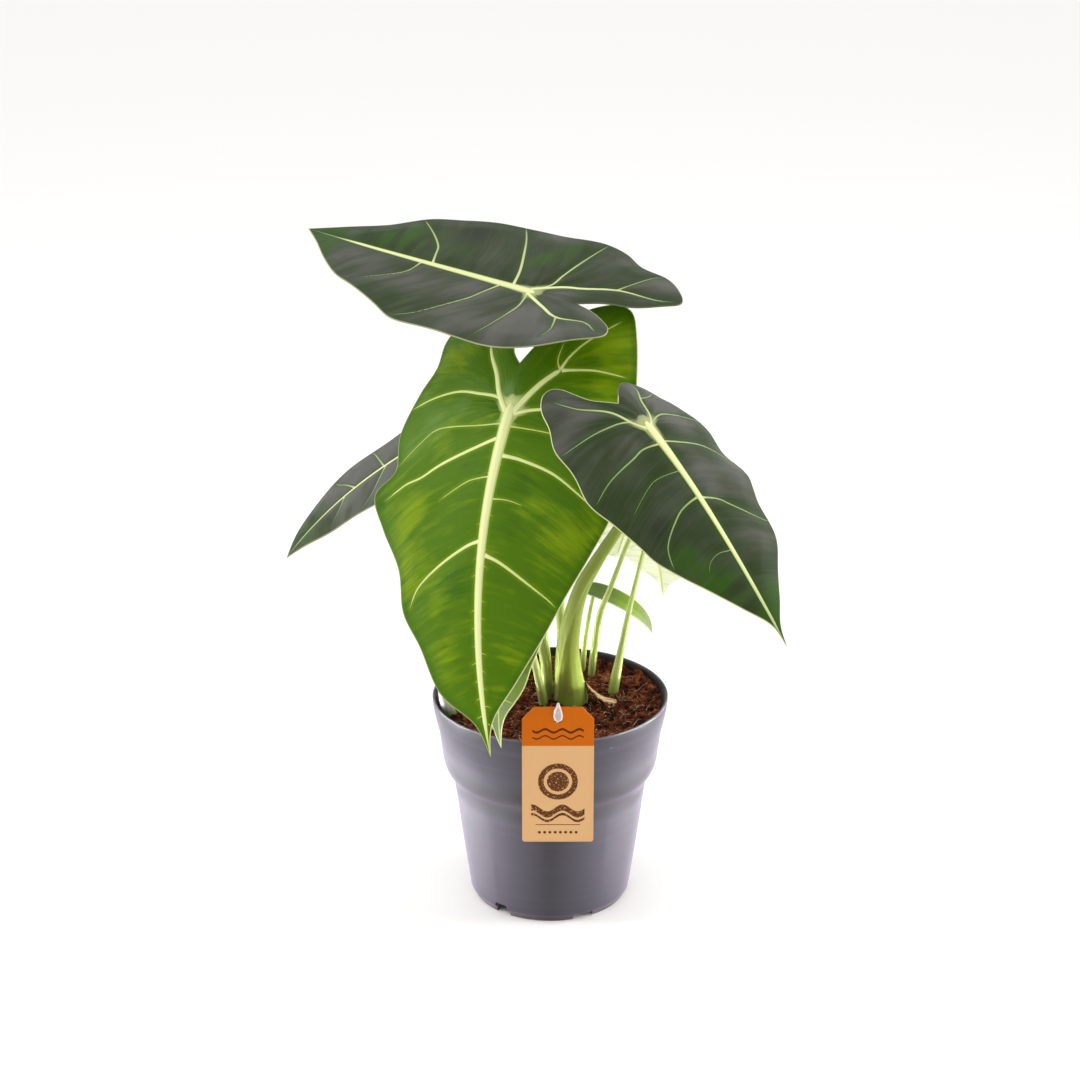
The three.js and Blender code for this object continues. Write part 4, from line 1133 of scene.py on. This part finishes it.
def shoot_finish():
    """Rolled-up shoot: dark green foot, whitish lilac above."""
    finish = Finish("rolled_shoot")
    stem = finish.attribute("stem", "Vector")
    _, _, height = finish.split(stem)
    streaks = finish.drawn_noise(stem, (2, 3, 0.03), 4, 0.6)
    green = finish.mix(streaks, rgb(54, 70, 30), rgb(104, 124, 62))
    pale = finish.mix(streaks, rgb(164, 156, 150), rgb(222, 214, 214))
    colour = finish.mix(finish.fade(height + (streaks - 0.5) * 7, 106, 113), green, pale)
    return finish.surface(colour, 0.45 + 0.1 * streaks, 0.3, (streaks, 0.0004, 0.5))


def beside_lap(turn, share):
    """Side of a point of the thick stem from the edge where its rolled base ends: near 1 on the lap
    itself, near -1 right under it, and 0 away from it. The edge climbs round the stem."""
    edge = math.radians(np.interp(share, (0, 0.1, 0.3, 0.5), (196, 214, 262, 318)))
    off = (turn - edge + math.pi) % (2 * math.pi) - math.pi
    fading = float(np.interp(share, (0.42, 0.5), (1, 0)))
    return fading * (math.exp(off / 0.45) if off < 0 else -math.exp(-off / 0.25))


class ALOCASIA_OT_stalks(bpy.types.Operator):
    """Build the stalks and the rolled-up shoot"""

    bl_idname = "alocasia.stalks"
    bl_label = "Stalks"

    def execute(self, context):
        settings = context.scene.alocasia_stem
        thick = stalk_finish(settings, "thick_stem", settings.olive, settings.edge, 22)
        thin = stalk_finish(settings, "thin_stalk", settings.young, settings.young_edge, 12)
        low = stalk_finish(settings, "low_stalk", settings.edge, settings.young_edge, 26)
        looks = {"petiole_right": thick, "petiole_front": low, "petiole_low": low, "shoot": shoot_finish()}
        for name, stalk in STALKS.items():
            path = stalk["path"] + (path_end(*stalk["blade"]) if "blade" in stalk else [])
            line = smooth_line(path, 0.5, stalk.get("steps", 80))
            radii = np.interp(np.linspace(0, 1, len(line)), *zip(*stalk["radii"]))
            lap = beside_lap if name == "petiole_right" else lambda turn, share: 0
            depth = settings.rib_depth / MM / stalk["radii"][0][1]

            def section(turn, share, lap=lap, depth=depth):
                ribs = math.sin(13 * turn + 2 * share) + 0.5 * math.sin(29 * turn)
                return 1 + depth * ribs + 0.05 * max(lap(turn, share), 0)

            points, faces, places = tube(line, radii, stalk.get("sides", 24), section)
            parts = Parts()
            parts.add(points, faces, stem=places, rolled=[lap(turn, share) for share, turn, _ in places])
            parts.piece(name + "_dressed", "stem", [looks.get(name, thin)], replaces=(name,), sharp=55)
        return {"FINISHED"}


# ---------------------------------------------------------------- pot


class PotSettings(bpy.types.PropertyGroup):
    plastic: colour_prop("Plastic", "Grey-purple outside", rgb(42, 38, 50))
    # sheen_tone tints the sheen and is also the colour of the faint rings, the scuffs and the painted
    # highlights on the rim and the foot step
    sheen_tone: colour_prop("Bloom", "Lavender bloom at glancing angles", rgb(214, 200, 222))
    inside: colour_prop("Inside", "Near-black inside", rgb(38, 26, 30))
    foot: colour_prop("Foot", "Reddish foot ring", rgb(74, 60, 66))
    wall: length_prop("Wall", "Wall thickness", 1.2)
    segments: IntProperty(name="Segments", description="Steps round the pot", default=180)


# (radius, height) of the outside over the foot ring, and of the foot ring and the rim in detail
POT_OUTSIDE = [
    (41.6, 6), (45.5, 34), (49.1, 61.5), (49.8, 65), (51.4, 68.4), (53.4, 71.8), (54.6, 75.2), (56, 85),
    (57, 92), (58.8, 100), (60, 106.5), (60.2, 110)]
FOOT_RING = [(39.0, 0.0), (39.3, 0.25), (39.6, 2.8), (39.9, 3.2), (41.1, 3.5), (41.45, 4.2)]
RIM = [(60.0, 110.35), (59.6, 110.4), (59.2, 110.3)]
FLOOR_HEIGHT = 7.2
FLOOR_RADIUS = 40.4
FOOT_INSIDE = 36.5
PAD_RADIUS = 14
POT_SHARP = 35
NOTCH_REPEAT = 3
NOTCHES = [(-127.5, 9.4, 7, 6.4), (-64.5, 11.6, 11, 3.1)]   # angle, width at the foot and head, height
NOTCH_CUT = (-5, 7.2)   # how far a notch's cut goes inwards and outwards from the foot's inside


def pot_finish(settings):
    """Moulded plastic: faint rings and scuffs, a reddish foot, painted highlights along the foot step and the
    rim, painted shade and more roughness where the wall narrows under the collar, and a dark inside.
    """
    finish = Finish("pot_plastic")
    place = finish.place()
    across, depth, height = finish.split(place)
    height = height * PER_METRE
    radius = (across * across + depth * depth) ** 0.5 * PER_METRE
    clouds, grain = finish.noise(place, 18), finish.noise(place, 1300, 2)
    rings = finish.drawn_noise(place, (3, 3, 260))
    scuffs = finish.fade(finish.drawn_noise(place, (90, 90, 220), 5, 0.7), 0.69, 0.8)
    # masks of a painted highlight along the foot step and of painted shade where the wall narrows under the
    # collar
    foot_step_highlight = finish.fade(height, 3.0, 3.4) * (1 - finish.fade(height, 3.6, 4.4))
    shoulder_shade = finish.fade(height, 56, 62) * (1 - finish.fade(height, 75, 84))
    slope = 58.2 + 0.2 * (height - 100)
    colour = finish.coats(
        settings.plastic,
        (clouds * 0.3, scaled(settings.plastic, 1.3)),
        (finish.fade(rings, 0.5, 0.75) * 0.02, settings.sheen_tone),
        (scuffs * 0.4, settings.sheen_tone),
        ((1 - finish.fade(height, 2.6, 3.4)) * 0.8, settings.foot),
        # painted highlight at the foot step, painted shade under the collar, painted highlight along the rim
        (foot_step_highlight * 0.06, settings.sheen_tone),
        (shoulder_shade * 0.6, scaled(settings.plastic, 0.3)),
        (finish.fade(height, 109.4, 110.1) * 0.08, settings.sheen_tone),
        ((radius < slope.maths("MINIMUM", slope, 59.5)) * (height > 92), settings.inside))
    return finish.surface(colour, 0.42 + 0.12 * clouds + 0.1 * scuffs + 0.3 * shoulder_shade, 0.6,
                          (grain * 0.4 + rings * 0.3, 0.00012, 0.4), Sheen_Weight=0.75,
                          Sheen_Roughness=0.3, Sheen_Tint=(*settings.sheen_tone, 1))


def cut_notches(pot):
    """Cuts the drain notches out of the foot ring."""
    cutters = bmesh.new()
    for angle, foot, head, height in NOTCHES:
        for i in range(NOTCH_REPEAT):
            turn = Matrix.Rotation(math.radians(angle + i * 360 / NOTCH_REPEAT), 4, "Z")
            corners = [(FOOT_INSIDE + out, side * width / 2, z) for out in NOTCH_CUT
                       for z, width in ((-1, foot), (height, head)) for side in (-1, 1)]
            verts = [cutters.verts.new(turn @ (Vector(corner) * MM)) for corner in corners]
            bmesh.ops.convex_hull(cutters, input=verts)
    tool = new_object("notch_tool", bpy.data.meshes.new("notch_tool"))
    cutters.to_mesh(tool.data)
    cutters.free()
    cut = pot.modifiers.new("notches", "BOOLEAN")
    cut.object = tool
    cut.solver = "EXACT"
    graph = bpy.context.evaluated_depsgraph_get()
    shaped = bpy.data.meshes.new_from_object(pot.evaluated_get(graph))
    pot.modifiers.clear()
    pot.data = shaped
    bpy.data.objects.remove(tool)
    shaped.set_sharp_from_angle(angle=math.radians(POT_SHARP))


class ALOCASIA_OT_pot(bpy.types.Operator):
    """Build the nursery pot with its collar, foot ring and drain notches"""

    bl_idname = "alocasia.pot"
    bl_label = "Pot"

    def execute(self, context):
        settings = context.scene.alocasia_pot
        wall = settings.wall / MM
        floor_top = FLOOR_HEIGHT + wall
        outside = [tuple(point) for point in smooth_line(POT_OUTSIDE, 0.5, 80)]
        inside = [(radius - wall, height) for radius, height in reversed(outside) if height > floor_top]
        profile = [(0.01, 0), (PAD_RADIUS, 0), (PAD_RADIUS + 2, FLOOR_HEIGHT), (FOOT_INSIDE, FLOOR_HEIGHT),
                   (FOOT_INSIDE + 0.3, 0.3), (FOOT_INSIDE + 0.6, 0), *FOOT_RING, *outside, *RIM, *inside,
                   (FLOOR_RADIUS, floor_top), (PAD_RADIUS + 0.6, floor_top), (PAD_RADIUS - 1.4, wall),
                   (0.01, wall)]
        points, faces = turned(profile, settings.segments)
        pot = add_piece("pot_shell", "pot", points, faces, [pot_finish(settings)], sharp=POT_SHARP,
                        replaces=("pot",))
        cut_notches(pot)
        return {"FINISHED"}


# ---------------------------------------------------------------- soil


class SoilSettings(bpy.types.PropertyGroup):
    coir: colour_prop("Coir", "Red-brown of the coir", rgb(92, 40, 24))
    dark: colour_prop("Dark", "Dark peat between the fibres", rgb(34, 12, 7))
    light: colour_prop("Light", "Light fibres", rgb(150, 88, 56))
    white: colour_prop("White", "Perlite grains", rgb(236, 222, 208))
    crumbs: IntProperty(name="Crumbs", description="Crumbs on the surface", default=1300)
    fibres: IntProperty(name="Fibres", description="Coir fibres on the surface", default=1500)
    seed: IntProperty(name="Seed", description="Seed of the scatter", default=7)


SOIL_LEVEL = 103.5
SOIL_EDGE = 57.0
SOIL_LUMP = 1.3
SOIL_RINGS, SOIL_SEGMENTS = 70, 160
SOIL_WALL = [(53.5, 80), (48, 60), (43.5, 34), (40.2, 10), (39.8, 8.75), (14, 8.75), (12, 1.6)]
BANK_START = 36         # the soil rises towards the wall from this radius
FIBRE_STEPS = 5
BEAD = (31, -3.5)       # a small white ring that lies on the soil
BEAD_RADIUS, BEAD_THICK, BEAD_TILT = 1.25, 0.33, 0.9
PEAT, FIBRE, WHITE = range(3)


def soil_height(x, y):
    """Lumps of the construction model with finer ones on top."""
    lumps = (math.sin(0.21 * x + 1.3) * math.cos(0.17 * y - 0.4)
             + 0.6 * math.sin(0.37 * x - 0.29 * y) + 0.4 * math.cos(0.52 * y + 0.31 * x))
    fine = noise.fractal(Vector((x * 0.22, y * 0.22, 3.1)), 0.8, 2.1, 4)
    banked = min(max((math.hypot(x, y) - BANK_START) / (SOIL_EDGE - BANK_START), 0), 1) ** 2
    return SOIL_LEVEL + SOIL_LUMP * lumps / 2 + 1.3 * fine + (3.4 + 0.02 * x + 0.008 * y) * banked


def soil_finish(settings, name, *tones):
    """Clumps in three tones with light strands and small dark specks."""
    finish = Finish(name)
    place = finish.place()
    clumps = finish.noise(place, 260, 4, 0.68) * 0.65 + finish.noise(place, 90) * 0.35
    strands = finish.drawn_noise(place, (900, 260, 500), 3, 0.6)
    dark_specks = finish.cells(place, 800)
    colour = finish.coats(
        finish.ramp(clumps, *zip((0.44, 0.52, 0.63), tones)),
        (finish.fade(strands, 0.56, 0.7) * 0.45, settings.light),
        # small dark specks at the points of the cells
        ((1 - finish.fade(dark_specks, 0.15, 0.5)) * 0.45, settings.dark))
    return finish.surface(colour, 0.8 + 0.1 * clumps, 0.08, (clumps + dark_specks * 0.5, 0.0014, 0.9))


class ALOCASIA_OT_soil(bpy.types.Operator):
    """Build the soil: a lumpy body, crumbs, coir fibres and perlite"""

    bl_idname = "alocasia.soil"
    bl_label = "Soil"

    def execute(self, context):
        settings = context.scene.alocasia_soil
        self.rng = random.Random(settings.seed)
        self.parts = Parts()
        self.add_body()
        for _ in range(settings.crumbs):
            self.add_crumb()
        for _ in range(settings.fibres):
            self.add_fibre()
        self.add_bead()
        self.parts.piece("soil_body", "soil", [
            soil_finish(settings, "peat", settings.dark, settings.coir, settings.light),
            soil_finish(settings, "coir_fibre", settings.coir, settings.light, rgb(222, 168, 128)),
            soil_finish(settings, "perlite", settings.white, settings.white, settings.light),
        ], replaces=("soil",))
        return {"FINISHED"}

    def add_body(self):
        points = [(0, 0, soil_height(0, 0))]
        for i in range(1, SOIL_RINGS + 1):
            radius = SOIL_EDGE * (i / SOIL_RINGS) ** 0.85
            for x, y in [polar(radius, turn) for turn in turns(SOIL_SEGMENTS)]:
                points.append((x, y, soil_height(x, y)))
        points += [(*polar(radius, turn), height)
                   for radius, height in SOIL_WALL for turn in turns(SOIL_SEGMENTS)]
        rings = SOIL_RINGS + len(SOIL_WALL)
        faces = [(0, 1 + j, 1 + (j + 1) % SOIL_SEGMENTS) for j in range(SOIL_SEGMENTS)]
        faces += [tuple(1 + k for k in face) for face in ring_faces(rings, SOIL_SEGMENTS, turned_over=True)]
        faces.append(tuple(reversed(range(len(points) - SOIL_SEGMENTS, len(points)))))
        self.parts.add(points, faces, PEAT)

    def random_spot(self, limit):
        radius, angle = limit * math.sqrt(self.rng.random()), self.rng.uniform(0, 2 * math.pi)
        return polar(radius, angle)

    def add_crumb(self):
        rng = self.rng
        x, y = self.random_spot(SOIL_EDGE - 1.2)
        pale = rng.random() < 0.06
        size = rng.uniform(0.25, 0.6) if pale else rng.uniform(0.4, 1.6)
        ball = bmesh.new()
        bmesh.ops.create_icosphere(ball, subdivisions=1, radius=1)
        middle = np.array([x, y, soil_height(x, y) + size * 0.2])
        reach = np.array([rng.uniform(0.6, 1.2) for _ in range(3)]) * (1, 1, 0.8) * size
        points = [middle + np.array(vert.co) * reach * rng.uniform(0.7, 1.15) for vert in ball.verts]
        faces = [tuple(vert.index for vert in face.verts) for face in ball.faces]
        ball.free()
        self.parts.add(points, faces, WHITE if pale else PEAT)

    def add_fibre(self):
        rng = self.rng
        x, y = self.random_spot(SOIL_EDGE - 5)
        heading = rng.uniform(0, 2 * math.pi)
        bend = rng.gauss(0, 0.16)
        length = rng.uniform(2.5, 11)
        arch = rng.uniform(0.2, 1.6)
        knots = []
        for i in range(FIBRE_STEPS + 1):
            if math.hypot(x, y) < SOIL_EDGE:
                rise = 0.15 + arch * math.sin(math.pi * i / FIBRE_STEPS) ** 1.5
                knots.append((x, y, soil_height(x, y) + rise))
            x += length / FIBRE_STEPS * math.cos(heading)
            y += length / FIBRE_STEPS * math.sin(heading)
            heading += bend + rng.gauss(0, 0.2)
        if len(knots) < 4:
            return
        line = smooth_line(knots, 0.5, 7)
        thick = rng.uniform(0.06, 0.15)
        points, faces, _ = tube(line, np.linspace(thick, thick * 0.4, len(line)), 4)
        self.parts.add(points, faces, FIBRE if rng.random() < 0.9 else WHITE)

    def add_bead(self):
        middle = Vector((*BEAD, soil_height(*BEAD) + 1.1))
        tilt = Matrix.Rotation(BEAD_TILT, 3, "X")
        around, sides = 28, 10
        points = []
        for turn in turns(around):
            for roll in turns(sides):
                out, up = polar(BEAD_THICK, roll)
                points.append(middle + tilt @ Vector((*polar(BEAD_RADIUS + out, turn), up)))
        self.parts.add(points, ring_faces(around, sides, closed=True, turned_over=True), WHITE)


# ---------------------------------------------------------------- dry sheath

SCRAP_PATH = [(18.6, 3.4, 112.6), (22.5, 2.2, 109), (27.6, 1, 105.8), (33.8, 0.4, 104.8)]
SCRAP_WIDTHS = (0, 0.3, 0.65, 0.85, 1), (1.8, 3.2, 4.0, 3.0, 0.8)   # shares of the length, half widths
SCRAP_THICK = 0.45
SCRAP_ACROSS = 10


def dry_finish():
    """Papery fibres from light to dark brown with darker blots."""
    finish = Finish("dry_sheath")
    place = finish.place()
    fibres = finish.drawn_noise(place, (120, 1100, 500), 4)
    colour = finish.coats(
        finish.ramp(fibres, (0.3, rgb(156, 108, 62)), (0.48, rgb(206, 168, 118)), (0.68, rgb(240, 218, 178))),
        (finish.fade(finish.noise(place, 160), 0.55, 0.72) * 0.5, rgb(128, 84, 46)))
    return finish.surface(colour, 0.7 + 0.15 * fibres, 0.3, (fibres, 0.0008, 0.9))


class ALOCASIA_OT_scrap(bpy.types.Operator):
    """Build the curled dry scrap of leaf base on the soil"""

    bl_idname = "alocasia.scrap"
    bl_label = "Dry sheath"

    def execute(self, context):
        line = smooth_line(SCRAP_PATH, 0.5, 36)
        rng = random.Random(3)
        points = []
        for i, centre in enumerate(line):
            share = i / (len(line) - 1)
            rows = []
            for face in (1, 0):
                for j in range(SCRAP_ACROSS + 1):
                    out = 2 * j / SCRAP_ACROSS - 1
                    fringe = abs(out) > 0.9
                    arch = 1.1 * (1 - out * out) + 0.15 * math.sin(9 * out + 5 * share)
                    width = np.interp(share, *SCRAP_WIDTHS) * (1 + 0.12 * math.sin(31 * share + 4) * fringe)
                    lift = arch + SCRAP_THICK * face + 0.1 * rng.random() * (not fringe)
                    rows.append(centre + (-0.35 * out * width, out * width, lift))
            points += rows[:SCRAP_ACROSS + 1] + rows[:SCRAP_ACROSS:-1]
        sides = 2 * (SCRAP_ACROSS + 1)
        faces = ring_faces(len(line), sides, turned_over=True)
        faces += [tuple(range(sides)), tuple(reversed(range(len(points) - sides, len(points))))]
        add_piece("dry_scrap", "dry_sheath", points, faces, [dry_finish()], sharp=60,
                  replaces=("dry_sheath",))
        return {"FINISHED"}


# ---------------------------------------------------------------- tag


class TagSettings(bpy.types.PropertyGroup):
    header: colour_prop("Header", "Orange head of the card", rgb(200, 100, 2))
    card: colour_prop("Card", "Tan body of the card", rgb(218, 172, 120))
    ink: colour_prop("Ink", "Brown ink", rgb(84, 34, 2))
    split: length_prop("Split", "Height of the line between head and body", 110.3)


TAG_CENTRE = 3.6
TAG_FRONT = -63.4
TAG_THICKNESS = 0.8
TAG_TOP = 131
HOOK_RADIUS = 0.6       # of the construction model's hook
HOOK_GAP = 0.3
WIRE_RADIUS, STRAND_RADIUS = HOOK_RADIUS * 0.8, 0.5
PANE_FLAT = 0.16        # depth of the flat pane, as a share of its width


def tag_finish(settings):
    """Printed card: waves on the head, and on the body a ringed sun over hills, a rule and a row of dots."""
    finish = Finish("printed_card")
    place = finish.place()
    x, _, z = finish.split(place)
    x = (x - TAG_CENTRE * MM) * PER_METRE
    z = z * PER_METRE
    side = abs(x)

    def wavy(height, depth, pitch, start=0.0):
        angle = x * pitch + start
        return height + depth * angle.maths("SINE", angle)

    def line(centre, half_width, half_length):
        return (abs(z - centre) < half_width) * (side < half_length)

    worn = finish.noise(place, 900, 5, 0.75)
    edges = (worn - 0.5) * 0.5
    waves = line(wavy(118.4, 0.9, 0.75), 0.65, 12.6) + line(wavy(114.9, 0.9, 0.75), 0.4, 12.6)
    sun = (x * x + (z - 91) ** 2) ** 0.5 + edges
    rings = (sun < 5.4) + (sun > 7) * (sun < 9.8)
    hill = wavy(76.6, 1.9, 0.42, 0.6) + edges
    hills = (z < hill) * (z > hill - 3.4) * (side < 13.2) + (z < hill - 4.6) * (z > hill - 6) * (side < 13.2)
    dot = ((x.maths("PINGPONG", x, 2.6) - 1.3) ** 2 + (z - 63.2) ** 2) ** 0.5
    dots = (dot < 0.75) * (side < 10.3)
    wear = 1 - finish.fade(worn, 0.56, 0.62)
    ink = (rings + hills) * wear + waves + line(67.4, 0.2, 11) + dots
    paper = finish.noise(place, 500)
    body, head = [
        finish.mix(paper * 0.4, tone, scaled(tone, 0.85)) for tone in (settings.card, settings.header)]
    colour = finish.coats(
        body,
        (z > settings.split / MM, head),
        (ink.maths("MINIMUM", ink, 1) * 0.96, settings.ink))
    return finish.surface(colour, 0.5 + 0.12 * paper, 0.12, (paper, 0.00005, 0.5))


def clear_plastic(name, scale, share, clear, hazy, roughness, specular):
    """Clear plastic with a haze that takes up to a share of its own tone."""
    finish = Finish(name)
    haze = finish.noise(finish.place(), scale)
    return finish.surface(finish.mix(haze * share, clear, hazy), roughness + 0.1 * haze, specular)


class ALOCASIA_OT_tag(bpy.types.Operator):
    """Finish the card and build its clear hook"""

    bl_idname = "alocasia.tag"
    bl_label = "Tag"

    def execute(self, context):
        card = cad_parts["tag"]
        card.material_slots[0].material = tag_finish(context.scene.alocasia_tag)
        self.add_hook()
        return {"FINISHED"}

    @staticmethod
    def add_hook():
        """The wire over the rim, its two strands round the card's top, and the flat pane in front."""
        front = TAG_FRONT - HOOK_RADIUS - HOOK_GAP
        back = TAG_FRONT + TAG_THICKNESS + HOOK_RADIUS + HOOK_GAP
        middle = (front + back) / 2
        wire = smooth_line([(TAG_CENTRE, y, z) for y, z in (
            (-50, 86), (-51, 104), (-56, 117), (back + 0.2, 125), (back, 130.6), (middle, TAG_TOP + 1.9),
            (front, 131.2))], 0.5, 60)
        strands = [smooth_line([(TAG_CENTRE + side * dx, y, z) for dx, y, z in (
            (0.1, middle, 132.9), (0.6, front, 131.6), (1.6, front - 0.2, 128.5), (1.8, front, 126.2),
            (1.2, front + 0.3, 124.4), (0.1, front + 0.8, 123.7))], 0.5, 30) for side in (-1, 1)]
        parts = Parts()
        for line, radius, sides in ((wire, WIRE_RADIUS, 12), *[(line, STRAND_RADIUS, 10) for line in strands]):
            points, faces, _ = tube(line, np.full(len(line), radius), sides)
            parts.add(points, faces)
        drop = smooth_line([(TAG_CENTRE, front, z) for z in (124, 128, 132)], 0.5, 24)
        wide = np.interp(np.linspace(0, 1, len(drop)), (0, 0.15, 0.3, 0.6, 1), (0.1, 1.2, 1.7, 1.2, 0.1))
        points, faces, _ = tube(drop, wide, 16)
        parts.add([(x, front + (y - front) * PANE_FLAT, z) for x, y, z in points], faces, 1)
        parts.piece("clear_hook", "hook", [
            clear_plastic("clear_hook", 700, 0.3, rgb(226, 209, 204), rgb(244, 222, 206), 0.16, 0.6),
            clear_plastic("clear_pane", 500, 1, rgb(168, 150, 150), rgb(214, 196, 192), 0.2, 0.5),
        ], replaces=("tag_hook",))


# ---------------------------------------------------------------- stage

CAMERA_TARGET = (-5.2, 0, 194)
SENSOR_WIDTH = 36
FLOOR_SIZE = 9


class StageSettings(bpy.types.PropertyGroup):
    floor: colour_prop("Floor", "Pale floor", (0.9, 0.89, 0.87))
    front: FloatProperty(
        name="Front", description="Strength of the surround in front of the pot", default=0.26)
    round: FloatProperty(name="Round", description="Strength of the surround elsewhere", default=1.1)
    side: FloatProperty(name="Side lights", description="Power of each side light", default=12, unit="POWER")
    low: FloatProperty(
        name="Low lights", description="Power of each light beside the pot", default=0.27, unit="POWER")
    key: FloatProperty(name="Key", description="Power of the light over the front", default=5, unit="POWER")
    distance: FloatProperty(name="Distance", description="Camera to its target", default=1.3, unit="LENGTH")
    elevation: FloatProperty(
        name="Elevation", description="Camera's height angle", default=math.radians(20.7), subtype="ANGLE")
    lens: FloatProperty(name="Lens", description="Focal length in millimetres", default=86.59)


class ALOCASIA_OT_stage(bpy.types.Operator):
    """Set the camera, the pale floor and the soft lights"""

    bl_idname = "alocasia.stage"
    bl_label = "Stage"

    def execute(self, context):
        settings = context.scene.alocasia_stage
        self.add_camera(settings)
        self.add_floor(settings)
        self.add_surround(settings)
        self.add_light("key", (-0.15, -1.1, 1.5), (0, 0, 0.2), 1.2, settings.key)
        for side in (-1, 1):
            self.add_light("side_light", (side * 1.2, 0.1, 0.3), (0, 0, 0.1), 0.9,
                           settings.side * (1 + 0.2 * side))
            self.add_light("low_light", (side * 0.6, 0, 0.03), (0, 0, 0.045), 0.1,
                           settings.low * (1 - 0.15 * side), spread=16)
        bpy.context.scene.view_settings.view_transform = "Standard"
        return {"FINISHED"}

    @staticmethod
    def add_surround(settings):
        """A white surround that sheds less light from the front; the camera sees it all white."""
        world = bpy.data.worlds.new("studio")
        world.use_nodes = True
        nodes = Nodes(world.node_tree)
        x, y, z = nodes.split(nodes.node("ShaderNodeTexCoord", output="Generated"))
        behind = nodes.fade(y + 0.9 * z + 0.75 * abs(x), -0.7, 0.5)
        strength = settings.front + (settings.round - settings.front) * behind
        seen = nodes.node("ShaderNodeLightPath", output="Is Camera Ray")
        strength = strength + seen * (1.0 - strength)
        nodes.link_output("ShaderNodeOutputWorld", nodes.node("ShaderNodeBackground", values={
            "Color": (1, 1, 1), "Strength": strength}))
        bpy.context.scene.world = world

    @staticmethod
    def add_camera(settings):
        data = bpy.data.cameras.new("camera")
        data.lens = settings.lens
        data.sensor_width = SENSOR_WIDTH
        camera = new_object("camera", data)
        back = Vector((0, -math.cos(settings.elevation), math.sin(settings.elevation)))
        camera.location = Vector(CAMERA_TARGET) * MM + back * settings.distance
        camera.rotation_euler = (math.pi / 2 - settings.elevation, 0, 0)
        bpy.context.scene.camera = camera

    @staticmethod
    def add_floor(settings):
        mesh = bpy.data.meshes.new("floor")
        corners = [(x * FLOOR_SIZE, y * FLOOR_SIZE, 0) for x, y in ((-1, -1), (1, -1), (1, 1), (-1, 1))]
        mesh.from_pydata(corners, [], [(0, 1, 2, 3)])
        mesh.materials.append(Finish("floor").surface(settings.floor, 0.9, 0.1))
        new_object("floor", mesh)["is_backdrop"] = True

    @staticmethod
    def add_light(name, place, aim, size, power, spread=180):
        data = bpy.data.lights.new(name, "AREA")
        data.size = size
        data.spread = math.radians(spread)
        data.energy = power
        light = new_object(name, data)
        light.location = place
        light.rotation_euler = (Vector(aim) - Vector(place)).to_track_quat("-Z", "Y").to_euler()
        light.visible_camera = False


class ALOCASIA_PT_panel(bpy.types.Panel):
    """Lists the pieces in the sidebar"""

    bl_label = "Alocasia"
    bl_idname = "ALOCASIA_PT_panel"
    bl_space_type = "VIEW_3D"
    bl_region_type = "UI"
    bl_category = "Alocasia"

    def draw(self, context):
        for operator in OPERATORS:
            self.layout.operator(operator.bl_idname)


SETTINGS = {
    "alocasia_pot": PotSettings,
    "alocasia_soil": SoilSettings,
    "alocasia_leaf": LeafSettings,
    "alocasia_stem": StemSettings,
    "alocasia_tag": TagSettings,
    "alocasia_stage": StageSettings,
}
OPERATORS = (
    ALOCASIA_OT_stage, ALOCASIA_OT_pot, ALOCASIA_OT_soil, ALOCASIA_OT_stalks, ALOCASIA_OT_leaves,
    ALOCASIA_OT_scrap, ALOCASIA_OT_tag,
)


def register():
    for name, group in SETTINGS.items():
        bpy.utils.register_class(group)
        setattr(bpy.types.Scene, name, PointerProperty(type=group))
    for operator in (*OPERATORS, ALOCASIA_PT_panel):
        bpy.utils.register_class(operator)


def unregister():
    for operator in (ALOCASIA_PT_panel, *reversed(OPERATORS)):
        bpy.utils.unregister_class(operator)
    for name, group in SETTINGS.items():
        delattr(bpy.types.Scene, name)
        bpy.utils.unregister_class(group)


def main():
    register()
    for operator in OPERATORS:
        package, name = operator.bl_idname.split(".")
        getattr(getattr(bpy.ops, package), name)()
    boxes = {"cad": CAD_BOX, "visual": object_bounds()}
    {key: [list(corner) for corner in box] for key, box in boxes.items()}


if __name__ == "__main__":
    main()
